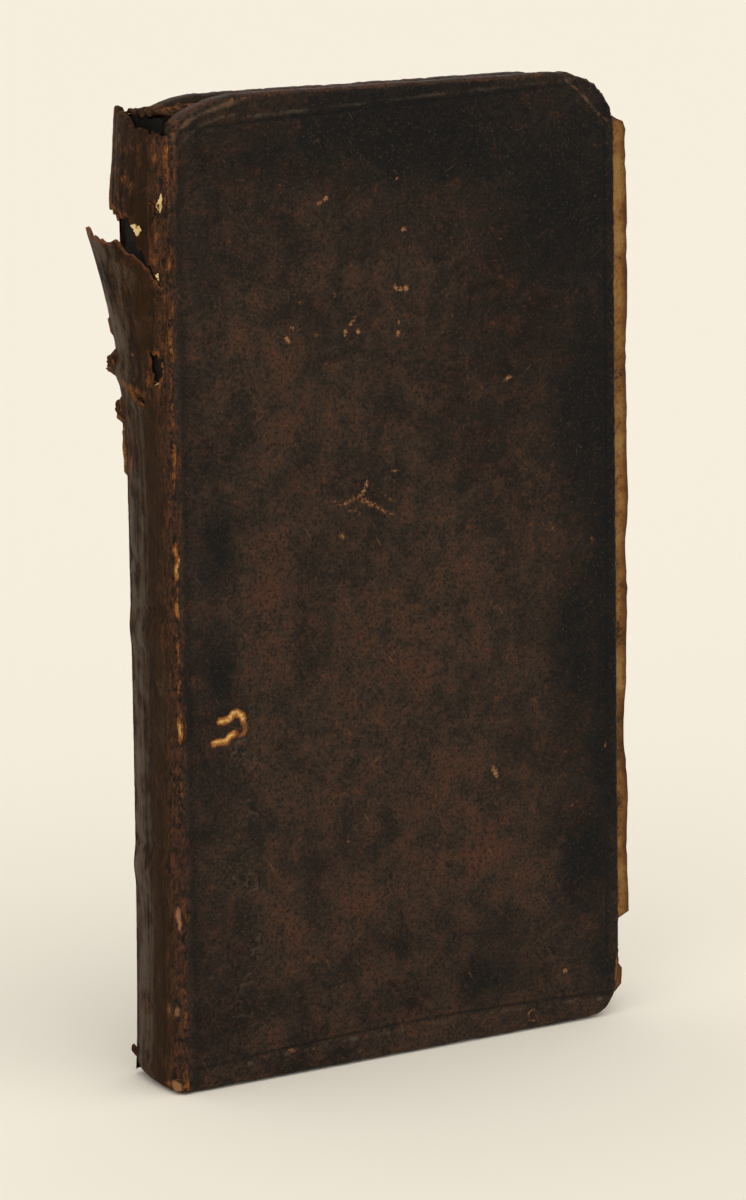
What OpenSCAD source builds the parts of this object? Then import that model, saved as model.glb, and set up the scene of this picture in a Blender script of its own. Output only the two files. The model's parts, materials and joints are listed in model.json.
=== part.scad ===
// A tall, narrow manuscript book in a worn full-leather binding, standing on its tail.
// X runs from the spine to the fore-edge, Y from the front cover to the back cover, Z upwards.
// The origin is on the floor, under the middle of the book.

/* [Covers] */
// Height of the front cover
cover_h = 200; // [190:1:240]
// How much lower the back cover ends at the head
back_drop = 1.3; // [0:0.1:3]
// Width of a cover, from its joint to its fore-edge
cover_w = 103.5; // [80:0.5:130]
// Thickness of the closed book over both covers
book_t = 20; // [18:0.5:40]
// Thickness of each pasteboard
board_t = 2.2; // [1.6:0.1:3.2]
// Size of the worn corner at the head of the fore-edge
head_corner = 10.5; // [4:0.5:16]
// Length along the tail of the worn corner at the fore-edge
tail_corner_w = 5; // [3:0.5:12]
// Height up the fore-edge of the worn corner at the tail
tail_corner_h = 9; // [3:0.5:14]
// Length along the head of the cut beside the joint
joint_cut_w = 15; // [6:0.5:25]
// Depth of that cut, down the joint
joint_cut_h = 6.7; // [3:0.1:12]

/* [Leather] */
// Thickness of the covering leather
leather_t = 0.9; // [0.6:0.05:1.2]
// Rounding where the leather turns over the board edges
edge_round = 0.8; // [0.3:0.1:1.2]
// Thickness of the pared leather turned in over the board
turn_in_t = 0.5; // [0.3:0.05:0.8]
// Width of the turn-ins
turn_in_w = 12; // [8:0.5:20]

/* [Spine] */
// How far the rounded spine stands out behind the joints, at head and tail
spine_bulge = 3.6; // [3.4:0.1:9]
// How much the spine is sunk at the middle of its height
spine_hollow = 1.6; // [0:0.1:1.6]
// Squareness of the spine's section, where 2 is an ellipse
spine_squareness = 2.4; // [2:0.1:3]
// Centre of the lowest raised band above the tail
tail_panel = 44; // [30:1:46]
// Spacing of the raised bands
band_pitch = 49; // [40:1:49]
// Width of a sewing cord
cord_w = 4.6; // [3:0.1:6]
// Height of a sewing cord over the backs of the leaves
cord_t = 0.8; // [0.5:0.1:1]
// Thickness of the paper that lines the spine between the cords
lining_t = 0.25; // [0.15:0.05:0.3]
// How far the leather of the spine has lifted off the floor at the back joint
tail_lift = 3.5; // [0:0.5:6]

/* [Torn leather] */
// Distance from the head down to the low end of the tear, beside the front joint
tear_drop = 41.5; // [36:0.5:42]
// Distance from the head down to the tip of the flap
flap_drop = 27; // [25:0.5:30]
// Height of the strip of leather that is lost above the flap
loss_h = 4.5; // [2:0.5:8]
// How far the tip of the flap has sprung away from the spine
flap_lift = 8; // [2:0.1:10]
// Height over which the flap bends away
flap_bend = 48; // [30:1:55]
// How far the lower edge of the leather left at the head stands away
stub_lift = 2.6; // [0:0.1:4]
// How far the leather at the front of the head has worn away
head_loss = 7.4; // [5:0.1:10]
// How far the split edges of the top band curl up
band_split = 1.6; // [0:0.1:2]
// Depth of the ragged teeth along the torn edges
torn_edge = 0.4; // [0:0.1:0.8]

/* [Leaves] */
// Number of gatherings of leaves
gathering_count = 7; // [5:1:10]
// How far the leaves stay below the head and above the tail of the covers
square_h = 3; // [2:0.5:6]
// How far the front gathering stands out past the covers
leaf_overhang = 5.2; // [2:0.1:7]
// How far the back gathering stays inside the covers
leaf_inset = 1.4; // [0.5:0.1:4]
// Height of the lost corner at the tail of the front gathering
lost_corner_h = 20; // [12:1:30]
// Depth of the worn waves along the fore-edge of the front gathering
edge_wave = 0.3; // [0:0.1:0.6]
// Depth of the thumbed dip in that edge
thumb_dip = 1; // [0:0.1:2]
// Height of that dip above the tail
thumb_z = 65; // [45:1:120]
// Thickness of a pastedown
paper_t = 0.2; // [0.15:0.05:0.3]

/* [Hidden] */
leather_colour = [0.20, 0.15, 0.12];
spine_colour = [0.24, 0.18, 0.13];
board_colour = [0.50, 0.40, 0.27];
cord_colour = [0.55, 0.40, 0.22];
paper_colour = [0.62, 0.47, 0.28];

// Clearance between pieces that touch, and the running gap beside the joints
fit = 0.05;
joint_gap = 0.3;
// Depths into the book from a cover's outer face
cover_t = leather_t + board_t + turn_in_t;
cover_full_t = cover_t + paper_t;
half_t = book_t / 2;
back_h = cover_h - back_drop;
// The spine lies a little inside the covers, so that they swing past it
spine_half_t = half_t - joint_gap;
leaf_block_t = book_t - 2 * (cover_full_t + joint_gap);
// The backs of the leaves lie inside the lining, where the spine is sunk the most
back_room = leather_t + lining_t + 3 * fit;
leaf_back_bulge = spine_bulge - spine_hollow - back_room;
leaf_back_half_t = spine_half_t - back_room;
// Sewing cords and the slips that lace them into the boards
cord_count = 3;
cord_rows = 4;
cord_steps = 16;
cord_edge = 0.2;
cord_from = 0.08;
cord_to = 1 - cord_from;
slip_l = 14;
slip_t = 0.6;
slip_w = cord_w + 1;
pastedown_margin = 3;
// A raised band is the bell that the leather makes over a cord
band_half_h = 5;
band_steps = 3;
// Where the leather of the top band has split, above and below its centre
split_up = 3;
split_down = 5;
split_half_h = 3.4;
panel_steps = 4;
flap_rows = 8;
stub_rows = 6;
// Places round the spine, from 0 at the front joint to 1 at the back joint
tear_from = 0.12;
tear_to = 0.94;
flap_tip = 0.80;
tear_steps = 30;
girth = concat([for (i = [0 : 3]) tear_from * i / 4],
               [for (i = [0 : tear_steps - 1]) tear_from + (tear_to - tear_from) * i / tear_steps],
               [tear_to, 0.97, 1]);
tear_first = search(tear_from, girth)[0];
tear_last = search(tear_to, girth)[0];
curve_steps = 8;
section_steps = 32;
edge_steps = 28;
leaf_corner = 3;

// The joint is placed so that the origin is under the middle of the whole reach in X
spine_reach = joint_gap + max([for (g = girth) let (z = flap_top(g))
                               leather_lift(g, z) - spine_section(g, 1, bulge_at(z))[0]]);
joint_x = (spine_reach - cover_w - leaf_overhang) / 2;
spine_x = joint_x - joint_gap;

// Height of a band's centre, counted from the tail
function band_z(i) = tail_panel + i * band_pitch;

// A quadratic curve from a to c, drawn towards b, without its last point
function curve(a, b, c) =
    [for (i = [0 : curve_steps - 1])
        let (s = i / curve_steps, r = 1 - s) r * r * a + 2 * s * r * b + s * s * c];

// A smooth step from 0 at a to 1 at b
function ease(v, a, b) = let (s = min(max((v - a) / (b - a), 0), 1)) s * s * (3 - 2 * s);

// Half of a squared ellipse, in X and Y from the joint
function signed_power(v, p) = sign(v) * pow(abs(v), p);
function spine_section(g, half, bulge) =
    let (p = 2 / spine_squareness)
    [-bulge * pow(max(sin(180 * g), 0), p), -half * signed_power(cos(180 * g), p)];
function section_run(half, bulge, from, to, steps) =
    [for (i = [0 : steps]) spine_section(from + (to - from) * i / steps, half, bulge)];

// How far the spine stands out at a height, and what a raised band adds to it
function bulge_at(z) = spine_bulge - spine_hollow * sqrt(max(sin(180 * z / cover_h), 0));
function bell(v) = abs(v) < 1 ? (1 + cos(180 * v)) / 2 : 0;
function band_rise(z) = cord_t * max([for (i = [0 : cord_count - 1]) bell((z - band_z(i)) / band_half_h)]);

// Edges of the leather of the spine: its tail, the top of the flap, the edge left at the head, and the head
function ragged(g, turns) =
    torn_edge * (sin(g * 360 * turns) + 0.7 * sin(g * 580 * turns + 40)) * ease(g, tear_from, 0.3);
function tail_edge(g) = tail_lift * ease(g, 0.2, 1);
function flap_top(g) =
    let (edge = [[tear_from, 0], [0.46, 0.7], [0.66, 0.78], [flap_tip, 1], [tear_to, 0.72]])
    cover_h - tear_drop + (tear_drop - flap_drop) * lookup(g, edge) + ragged(g, 7);
function stub_edge(g) =
    let (gap = [[tear_from, 0.1], [0.36, 0.16], [0.5, 1], [0.8, 0.8], [1, 1]])
    flap_top(g) + loss_h * lookup(g, gap) + torn_edge + ragged(g, 9);
function head_edge(g) =
    let (edge = [[0, 1], [0.3, 0.95], [0.52, 0.84], [0.6, 0.5], [0.9, 0.48], [1, 0.6]])
    cover_h - head_loss * lookup(g, edge) + ragged(g, 6);

// How far the leather stands away: the flap below the tear, the split top band, and the stub above
function leather_lift(g, z) =
    let (bent = max(z - cover_h + flap_drop + flap_bend, 0) / flap_bend,
         above_band = z - band_z(cord_count - 1),
         upper_lip = bell((above_band - split_up) / split_half_h),
         lower_lip = 0.5 * bell((above_band + split_down) / split_half_h),
         flap = flap_lift * bent * bent * ease(g, tear_from, 0.62))
    g > tear_to ? 0 : flap + band_split * (upper_lip + lower_lip) * ease(g, 0.5, 0.75);
function stub_stand(g, z) =
    let (down = (head_edge(g) - z) / (head_edge(g) - stub_edge(g)))
    stub_lift * down * ease(g, tear_from, 0.55) * (1 - ease(g, 0.85, 1));

// Outline of a cover in X and Z from the joint, moved in by an inset on its three free edges
function cover_outline(h, inset) =
    let (w = cover_w - inset, top = h - inset, hc = max(head_corner - inset, 1),
         tw = max(tail_corner_w - inset, 1), th = max(tail_corner_h - inset, 1))
    concat([[0, inset]],
           curve([w - tw, inset], [w, inset], [w, inset + th]),
           curve([w, top - hc], [w - hc / 7, top - hc / 7], [w - hc, top]),
           curve([joint_cut_w, top], [joint_cut_w / 4, top - joint_cut_h / 5], [0, top - joint_cut_h]),
           [[0, top - joint_cut_h]]);

// A plate of a cover's outline at a depth into the book: side is -1 for the front cover, 1 for the back cover
module cover_layer(side, h, inset, depth, thick, shift = 0) {
    outer_y = side * half_t;
    translate([joint_x + shift, side > 0 ? outer_y - depth : outer_y + depth + thick, 0])
        rotate([90, 0, 0])
            linear_extrude(height = thick) polygon(cover_outline(h, inset));
}

// The same plate, run on past the joint, for cuts that are open there
module open_layer(side, h, inset, depth, thick) {
    cover_layer(side, h, inset, depth, thick);
    cover_layer(side, h, inset, depth, thick, -1);
}

// Leather over a board: outer face, rounded edges and pared turn-ins, open along the joint
module cover_leather(side, h) {
    skin = 0.01;
    layers = [[edge_round, 0], [edge_round * 0.3, edge_round * 0.3], [0, edge_round],
              [0, cover_t - turn_in_t], [turn_in_t, cover_t - skin]];
    color(leather_colour)
        difference() {
            hull()
                for (layer = layers)
                    cover_layer(side, h, layer[0], layer[1], skin);
            open_layer(side, h, leather_t, leather_t, board_t);
            open_layer(side, h, turn_in_w, leather_t, cover_t);
        }
}

// The cords' ends, pasted into seats in the outer face of a board
module lacing_slips(side, grow) {
    slip_y = half_t - leather_t - slip_t / 2 - 2 * fit;
    for (i = [0 : cord_count - 1])
        translate([joint_x + joint_gap + slip_l / 2, side * slip_y, band_z(i)])
            cube([slip_l + 2 * grow, slip_t + 2 * grow, slip_w + 2 * grow], center = true);
}

// Pasteboard inside the leather, with the seats for the slips
module cover_board(side, h) {
    color(board_colour)
        difference() {
            cover_layer(side, h, leather_t + fit, leather_t + fit, board_t - 2 * fit);
            lacing_slips(side, fit);
        }
}

// Endpaper pasted inside a cover, stepping down at the edge of the turn-ins
module cover_pastedown(side, h) {
    seat = leather_t + board_t + fit;
    step = turn_in_w + fit;
    color(paper_colour)
        difference() {
            union() {
                cover_layer(side, h, pastedown_margin, cover_t, paper_t);
                cover_layer(side, h, step, seat, cover_full_t - seat);
            }
            open_layer(side, h, step + paper_t, seat + paper_t, cover_t);
        }
}

// Fore-edge of the front gathering past the covers: worn into waves, with a thumbed dip
function ragged_edge(z) =
    leaf_overhang - edge_wave * (1 - sin(z * 7.3) * 0.6 - sin(z * 17 + 40) * 0.4)
    - thumb_dip * exp(-pow((z - thumb_z) / 12, 2));

// Outline of the front gathering, with a worn head corner, the lost tail corner and a remnant below it
function front_leaf_outline() =
    let (w = cover_w, top = cover_h - square_h, low = square_h, lost = lost_corner_h,
         shoulder = cover_h - head_corner - 3, edge_from = lost + 2,
         step = (shoulder - edge_from) / edge_steps)
    concat([[-spine_bulge, low], [w - 4, low], [w + 2, low + 1.5], [w + 2.4, lost / 2 - 0.5],
            [w - 0.5, lost / 2 + 1.5], [w - 2.5, lost - 3], [w + 1, lost],
            [w + leaf_overhang - 1, lost + 0.5]],
           [for (i = [0 : edge_steps - 1]) let (z = edge_from + i * step) [w + ragged_edge(z), z]],
           curve([w + ragged_edge(shoulder), shoulder], [w + leaf_overhang - 0.8, shoulder + 3.4],
                 [w + 1, shoulder + 3.2]),
           curve([w + 1, shoulder + 3.2], [w - 5, shoulder + 3.6], [w - 16, top]),
           [[w - 16, top], [-spine_bulge, top]]);

// Outline of any other gathering, each a little different in height and reach
function leaf_outline(i) =
    let (back = i / (gathering_count - 1), r = leaf_corner,
         w = cover_w + leaf_overhang * 0.45 * pow(1 - back, 2) - leaf_inset + 0.4 * sin(i * 137),
         top = back_h - square_h + 0.4 * sin(i * 211), low = square_h + 0.3 + 0.3 * sin(i * 95))
    concat([[-spine_bulge, low]],
           curve([w - r, low], [w, low], [w, low + r]),
           curve([w, top - r], [w, top], [w - r, top]),
           [[w - r, top], [-spine_bulge, top]]);

// Plan of the leaves: flat between the covers, spread into shoulders at the back
function leaf_plan() =
    let (reach = cover_w + leaf_overhang + 2, y = leaf_block_t / 2)
    concat(section_run(leaf_back_half_t, leaf_back_bulge, 0, 1, section_steps),
           [[0, y], [reach, y], [reach, -y], [0, -y]]);

// Where a gathering starts in the thickness: the outer two run on into the shoulders
function gathering_y(i) =
    i == 0 ? -leaf_back_half_t
           : i == gathering_count ? leaf_back_half_t : leaf_block_t * (i / gathering_count - 0.5);

// All the leaves in one solid, each gathering run a little way into the one in front of it
module text_block() {
    color(paper_colour)
        for (i = [0 : gathering_count - 1])
            intersection() {
                translate([spine_x, 0, 0])
                    linear_extrude(height = cover_h) polygon(leaf_plan());
                translate([joint_x, gathering_y(i + 1), 0])
                    rotate([90, 0, 0])
                        linear_extrude(height = gathering_y(i + 1) - gathering_y(i) + fit)
                            polygon(i == 0 ? front_leaf_outline() : leaf_outline(i));
            }
}

// A sheet with two faces: rows of points on each, and a list of the cells that are there
function wall(a, b, c, d) = [[a, b, c], [a, c, d]];
module sheet(outer, inner, cells) {
    rows = len(outer);
    cols = len(outer[0]);
    far = rows * cols;
    function at(j, i) = j * cols + i;
    function there(j, i) = j >= 0 && i >= 0 && j < rows - 1 && i < cols - 1 && cells[j][i];
    faces = [for (j = [0 : rows - 2]) for (i = [0 : cols - 2]) if (there(j, i))
        let (a = at(j, i), b = at(j, i + 1), c = at(j + 1, i + 1), d = at(j + 1, i))
        each concat(wall(a, b, c, d), wall(far + d, far + c, far + b, far + a),
                    there(j - 1, i) ? [] : wall(far + a, far + b, b, a),
                    there(j + 1, i) ? [] : wall(far + c, far + d, d, c),
                    there(j, i - 1) ? [] : wall(far + d, far + a, a, d),
                    there(j, i + 1) ? [] : wall(far + b, far + c, c, b))];
    polyhedron(points = concat([for (row = outer) each row], [for (row = inner) each row]), faces = faces);
}

// A half-round cord laid across the backs of the leaves
module sewing_cord(i) {
    half = leaf_back_half_t + fit;
    low = leaf_back_bulge + fit;
    function row(v, rise) =
        [for (p = section_run(half, low + rise, cord_from, cord_to, cord_steps))
            [spine_x + p[0], p[1], band_z(i) + v * cord_w / 2]];
    across = [for (k = [-cord_rows : cord_rows]) k / cord_rows];
    color(cord_colour)
        sheet([for (v = across) row(v, cord_t * (cord_edge + (1 - cord_edge) * sqrt(1 - v * v)))],
              [for (v = across) row(v, 0)],
              [for (v = across) [for (k = [0 : cord_steps]) true]]);
}

module sewing_cord_tail() { sewing_cord(0); }
module sewing_cord_middle() { sewing_cord(1); }
module sewing_cord_head() { sewing_cord(2); }

// Paper pasted over the backs of the leaves, in the panels between the cords
module spine_lining() {
    half = leaf_back_half_t + fit;
    low = leaf_back_bulge + fit;
    inside = section_run(half, low, cord_to, cord_from, section_steps);
    outside = section_run(half + lining_t, low + lining_t, cord_from, cord_to, section_steps);
    clear = cord_w / 2 + 3 * fit;
    edges = concat([square_h + 2],
                   [for (i = [0 : cord_count - 1]) each [band_z(i) - clear, band_z(i) + clear]],
                   [back_h - square_h - 2]);
    color(paper_colour)
        for (k = [0 : cord_count])
            translate([spine_x, 0, edges[2 * k]])
                linear_extrude(height = edges[2 * k + 1] - edges[2 * k])
                    polygon(concat(outside, inside));
}

// Heights that every place round the spine shares, from above the tail to the top band
function panel_rows(a, b) = [for (k = [1 : panel_steps - 1]) a + (b - a) * k / panel_steps];
function band_rows(i) = [for (k = [-band_steps : band_steps]) band_z(i) + k * band_half_h / band_steps];
function level_rows() =
    [for (i = [0 : cord_count - 1])
        let (from = i == 0 ? 0 : band_z(i - 1) + band_half_h)
        each concat(panel_rows(from, band_z(i) - band_half_h), band_rows(i))];

// Leather of the spine in one torn sheet: bands, a peeled flap, a lost strip and the stub at the head
module spine_leather() {
    levels = level_rows();
    top_level = levels[len(levels) - 1];
    function low_z(g, j) =
        j == 0 ? tail_edge(g)
               : j <= len(levels) ? levels[j - 1]
                                  : top_level + (flap_top(g) - top_level) * (j - len(levels)) / flap_rows;
    function stub_z(g, k) = stub_edge(g) + (head_edge(g) - stub_edge(g)) * k / stub_rows;
    function point(g, z, lift, depth) =
        let (p = spine_section(g, spine_half_t - depth, bulge_at(z) + band_rise(z) - depth))
        [spine_x + p[0] - lift, p[1], z];
    low_count = len(levels) + flap_rows + 1;
    function low_row(j, depth) =
        [for (g = girth) let (z = low_z(g, j)) point(g, z, leather_lift(g, z), depth)];
    function stub_row(k, depth) =
        [for (g = girth) let (z = stub_z(g, k)) point(g, z, stub_stand(g, z), depth)];
    function face(depth) =
        concat([for (j = [0 : low_count - 1]) low_row(j, depth)],
               [for (k = [0 : stub_rows]) stub_row(k, depth)]);
    slit_from = len([for (z = levels) if (z < cover_h - flap_drop - flap_bend) z]) + 1;
    function lost(j, i) =
        j == low_count - 1 ? i >= tear_first && i <= tear_last
                           : i == tear_last && j >= slit_from && j < low_count;
    color(spine_colour)
        sheet(face(0), face(leather_t),
              [for (j = [0 : low_count + stub_rows - 1]) [for (i = [0 : len(girth) - 2]) !lost(j, i)]]);
}

module front_board() { cover_board(-1, cover_h); }
module front_slips() { color(cord_colour) lacing_slips(-1, 0); }
module front_leather() { cover_leather(-1, cover_h); }
module front_pastedown() { cover_pastedown(-1, cover_h); }
module back_board() { cover_board(1, back_h); }
module back_slips() { color(cord_colour) lacing_slips(1, 0); }
module back_leather() { cover_leather(1, back_h); }
module back_pastedown() { cover_pastedown(1, back_h); }

text_block();
sewing_cord_tail();
sewing_cord_middle();
sewing_cord_head();
spine_lining();
spine_leather();
front_board();
front_slips();
front_leather();
front_pastedown();
back_board();
back_slips();
back_leather();
back_pastedown();
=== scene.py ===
"""Looks of a tall manuscript book in worn leather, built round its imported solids."""

import json
import math

import bpy
import numpy as np
from bpy.props import FloatProperty, FloatVectorProperty, IntProperty, PointerProperty
from mathutils import Matrix, Vector, noise


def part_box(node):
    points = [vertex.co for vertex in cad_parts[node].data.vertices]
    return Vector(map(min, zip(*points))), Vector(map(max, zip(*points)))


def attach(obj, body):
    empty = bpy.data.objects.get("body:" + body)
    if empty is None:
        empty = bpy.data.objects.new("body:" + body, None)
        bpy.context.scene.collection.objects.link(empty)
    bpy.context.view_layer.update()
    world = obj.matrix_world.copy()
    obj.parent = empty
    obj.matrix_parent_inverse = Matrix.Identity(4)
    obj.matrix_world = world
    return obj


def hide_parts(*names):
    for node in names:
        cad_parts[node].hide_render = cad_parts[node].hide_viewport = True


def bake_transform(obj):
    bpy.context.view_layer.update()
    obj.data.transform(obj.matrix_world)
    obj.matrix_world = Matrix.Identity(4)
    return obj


bl_info = {
    "name": "Manuscript book",
    "version": (1, 0, 0),
    "blender": (4, 5, 0),
    "location": "View3D > Sidebar > Book",
    "description": "Dresses the packed solids of a leather-bound manuscript book",
    "category": "Add Mesh",
}

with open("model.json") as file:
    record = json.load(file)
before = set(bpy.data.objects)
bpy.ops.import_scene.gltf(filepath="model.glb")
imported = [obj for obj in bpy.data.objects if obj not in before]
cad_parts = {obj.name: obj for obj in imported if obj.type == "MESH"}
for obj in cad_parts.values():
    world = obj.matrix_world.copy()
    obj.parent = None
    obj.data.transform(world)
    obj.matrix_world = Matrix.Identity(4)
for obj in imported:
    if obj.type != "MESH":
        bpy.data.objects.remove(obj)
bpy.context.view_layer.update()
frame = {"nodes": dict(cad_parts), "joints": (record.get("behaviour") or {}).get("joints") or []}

# Lengths in millimetres, taken from the frame where it gives them
MM = 0.001
ENDPAPER_INSET = 3
ENDPAPER_T = 0.18
TAB_T = 0.45
SCRAP_T = 0.15
CRUMPLED_T = 0.5
LEAF_ROOM = 0.12
LINING_ROOM = 0.06
HINGE = {joint["name"]: joint["pos_m"] for joint in frame["joints"]}
JOINT_X = HINGE["front_joint"][0] / MM
HALF_T = HINGE["back_joint"][1] / MM
COVER_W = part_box("front_leather")[1].x / MM - JOINT_X
COVER_T = HALF_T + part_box("front_leather")[1].y / MM
FRONT_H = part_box("front_leather")[1].z / MM
BACK_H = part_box("back_leather")[1].z / MM
INSIDE = -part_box("front_pastedown")[1].y / MM
LEAF_HALF = INSIDE - LEAF_ROOM
BACK_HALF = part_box("text_block")[1].y / MM - LINING_ROOM

# Stage: the floor in metres, the camera's place, lens and sensor in millimetres, its turn in degrees
FLOOR_RADIUS, FLOOR_DROP = 9, 0.0004
CAMERA_AT = -478.28, -810.3, 285.7
CAMERA_TURN = 30.61, 11.52, -0.78
LENS, SENSOR = 141, 36

# The way round the spine, and places on it from 0 at the front joint to 1 at the back joint
SPINE_GIRTH = 26
TEAR_START, TEAR_END = 0.12, 0.965
SLIT_START, SLIT_END = 0.94, 0.97
FLAP_END = 0.945


def length(name, description, millimetres):
    """A length that the sidebar shows in the scene's unit."""
    size = millimetres * MM
    return FloatProperty(name=name, description=description, default=size, unit="LENGTH", precision=5)


def colour(name, description, red, green, blue):
    """A colour written in screen values from 0 to 255, and kept in linear light."""
    linear = [((c / 255 + 0.055) / 1.055) ** 2.4 for c in (red, green, blue)]
    return FloatVectorProperty(
        name=name, description=description, default=linear, size=3, min=0, max=1, subtype="COLOR")


class BookSizes(bpy.types.PropertyGroup):
    """Sizes of the leather, the spine and the leaves that the frame's boxes don't give."""

    edge_round: length("Edge rounding", "Radius of the leather where it turns over a board's edge", 0.8)
    turn_in: length("Turn-in", "Width of the leather pasted inside a cover", 12)
    leather_t: length("Leather", "Thickness of the leather", 0.8)
    head_corner: length("Head corner", "Size of the worn rounding at the head of the fore-edge", 10.5)
    tail_corner_w: length("Tail corner width", "Width of the rounding at the tail of the fore-edge", 7)
    tail_corner_h: length("Tail corner height", "Height of the rounding at the tail of the fore-edge", 11)
    joint_cut_w: length("Joint cut width", "Width of the corner cut away at the head of the joint", 15)
    joint_cut_h: length("Joint cut height", "Height of the corner cut away at the head of the joint", 6.7)
    fillet_inset: length("Tooled line", "Distance of the tooled border from a cover's edges", 4.6)
    groove_x: length("Joint groove", "Distance of the pressed groove from the joint", 2.1)
    joint_gap: length("Joint gap", "Room between the spine's leather and a cover", 0.3)
    spine_bulge: length("Spine bulge", "How far the spine stands out at head and tail", 3.6)
    spine_hollow: length("Spine hollow", "How much less it stands out half-way up", 2.2)
    shoulder: length("Shoulder", "How far the back shoulder of the spine is drawn in half-way up", 1.1)
    band_rise: length("Band", "Height of a raised band", 0.8)
    tail_panel: length("Tail panel", "Height of the lowest band", 44)
    band_pitch: length("Band pitch", "Distance from band to band", 49)
    tail_lift: length("Tail lift", "How much of the spine's tail is worn away at the back", 1.4)
    tear_drop: length("Tear", "Distance of the tear's low end from the head", 38.5)
    loss: length("Lost strip", "Height of the leather lost above the flap", 4.5)
    head_loss: length("Head loss", "Height of the leather lost at the head", 7.4)
    flap_lift: length("Flap lift", "How far the torn flap's top stands off the spine", 7.4)
    flap_bend: length("Flap bend", "Height over which the flap bends away", 48)
    stub_lift: length("Stub lift", "How far the stub above the tear stands off", 2.2)
    leaf_overhang: length("Overhang", "How far the first leaves stand out past the covers", 5.93)
    leaf_t: length("Leaf", "Thickness of one leaf", 0.12)
    leaf_count: IntProperty(name="Leaves", description="Number of leaves", default=72, min=8)


class BookColours(bpy.types.PropertyGroup):
    """Colours of the leather, the paper and the stage."""

    leather: colour("Leather", "Main brown of the cover", 42, 35, 30)
    leather_dark: colour("Handled leather", "Dark brown of the cover's borders", 23, 20, 17)
    leather_olive: colour("Dull leather", "Yellowish brown between the rubbed places", 52, 44, 36)
    leather_green: colour("Green-black leather", "Greenish black of the unrubbed places", 33, 31, 25)
    leather_warm: colour("Rubbed leather", "Red-brown of the rubbed places", 76, 50, 38)
    ember: colour("Red leather", "Red-brown flecks where the grain is gone", 104, 58, 36)
    # Blue-black for the leather's stained places and tooled lines, also used as painted shade in the groove
    # by the joint and on the spine
    stain: colour("Stain", "Blue-black of the stains and the tooled lines", 18, 19, 19)
    # Grey of leather worn smooth, also painted on as sheen and highlights
    burnish: colour("Burnish", "Grey of leather polished by handling", 82, 72, 60)
    scuff: colour("Scuff", "Bare leather in scratches and scuffs", 150, 108, 74)
    track: colour("Worm track", "Palest fibres in the worm track", 216, 170, 98)
    fibre: colour("Fibres", "Torn leather seen from its cut side", 136, 82, 40)
    flesh: colour("Flesh side", "Inner side of the leather", 92, 58, 36)
    paper: colour("Paper", "Leaves away from their edges", 206, 184, 142)
    paper_edge: colour("Paper edge", "Handled edges of the leaves", 132, 88, 43)
    # Dirt on the leaves, also painted as shade on the spine
    paper_dirt: colour("Paper dirt", "Dirt on the leaves", 66, 42, 20)
    lining: colour("Lining", "Paper pasted on the spine, where it is clean", 222, 194, 132)
    board: colour("Pasteboard", "Grey-brown core of a board", 142, 118, 84)
    hemp: colour("Cord", "Sewing cord and its slips", 150, 112, 62)
    floor: colour("Floor", "Pale floor and backdrop", 250, 243, 228)


def mm(name):
    """One of the sizes, in millimetres."""
    return getattr(bpy.context.scene.book_sizes, name) / MM


def tint(name):
    """One of the colours, as a shader socket takes it."""
    return (*getattr(bpy.context.scene.book_colours, name), 1.0)


# Shader expressions


class Wire:
    """A shader socket that takes part in Python sums, so that a finish reads as a formula."""

    def __init__(self, tree, socket=None):
        self.tree, self.socket = tree, socket

    def node(self, kind, settings=None, inputs=None, output=0):
        """Adds a node, sets it, feeds its sockets and gives the chosen output."""
        made = self.tree.nodes.new(kind)
        for name, value in (settings or {}).items():
            if name == "stops":
                stops = made.color_ramp.elements
                while len(stops) < len(value):
                    stops.new(1.0)
                for stop, (place, shade) in zip(stops, value):
                    stop.position, stop.color = place, shade
            else:
                setattr(made, name, value)
        for name, value in (inputs or {}).items():
            if isinstance(value, Wire):
                self.tree.links.new(value.socket, made.inputs[name])
            else:
                made.inputs[name].default_value = value
        return Wire(self.tree, made.outputs[output])

    def math(self, operation, *values):
        return self.node("ShaderNodeMath", {"operation": operation}, dict(enumerate(values)))

    def __add__(self, other):
        return self.math("ADD", self, other)

    def __sub__(self, other):
        return self.math("SUBTRACT", self, other)

    def __rsub__(self, other):
        return self.math("SUBTRACT", other, self)

    def __mul__(self, other):
        return self.math("MULTIPLY", self, other)

    def __truediv__(self, other):
        return self.math("DIVIDE", self, other)

    __radd__, __rmul__ = __add__, __mul__

    def rise(self, low, high):
        """0 below low, 1 above high and a smooth step between, either way round."""
        if low > high:
            return 1 - self.rise(high, low)
        settings = {"interpolation_type": "SMOOTHSTEP"}
        return self.node("ShaderNodeMapRange", settings, {"Value": self, "From Min": low, "From Max": high})

    def clouds(self, size, detail=4.0, rough=0.55, distortion=0.0):
        """Noise on a place in millimetres, with features of about the given size."""
        inputs = {"Vector": self, "Scale": 1 / size, "Detail": detail}
        inputs.update({"Roughness": rough, "Distortion": distortion})
        return self.node("ShaderNodeTexNoise", {}, inputs)

    def stretched(self, x, y, z):
        """The place with its axes multiplied."""
        return self.node("ShaderNodeVectorMath", {"operation": "MULTIPLY"}, {0: self, 1: (x, y, z)})

    def blend(self, below, above):
        """From one colour to another by this value; the second may be the name of a tint."""
        if isinstance(above, str):
            above = tint(above)
        settings = {"data_type": "RGBA", "clamp_factor": True}
        return self.node("ShaderNodeMix", settings, {0: self, 6: below, 7: above}, 2)

    def ramp(self, *stops):
        """Colours by this value, from pairs of a value and the name of a tint."""
        shades = [(value, tint(name)) for value, name in stops]
        return self.node("ShaderNodeValToRGB", {"stops": shades}, {0: self})

    def bump(self, millimetres, strength=1.0):
        inputs = {"Strength": strength, "Distance": millimetres * MM, "Height": self}
        return self.node("ShaderNodeBump", {}, inputs)


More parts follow.
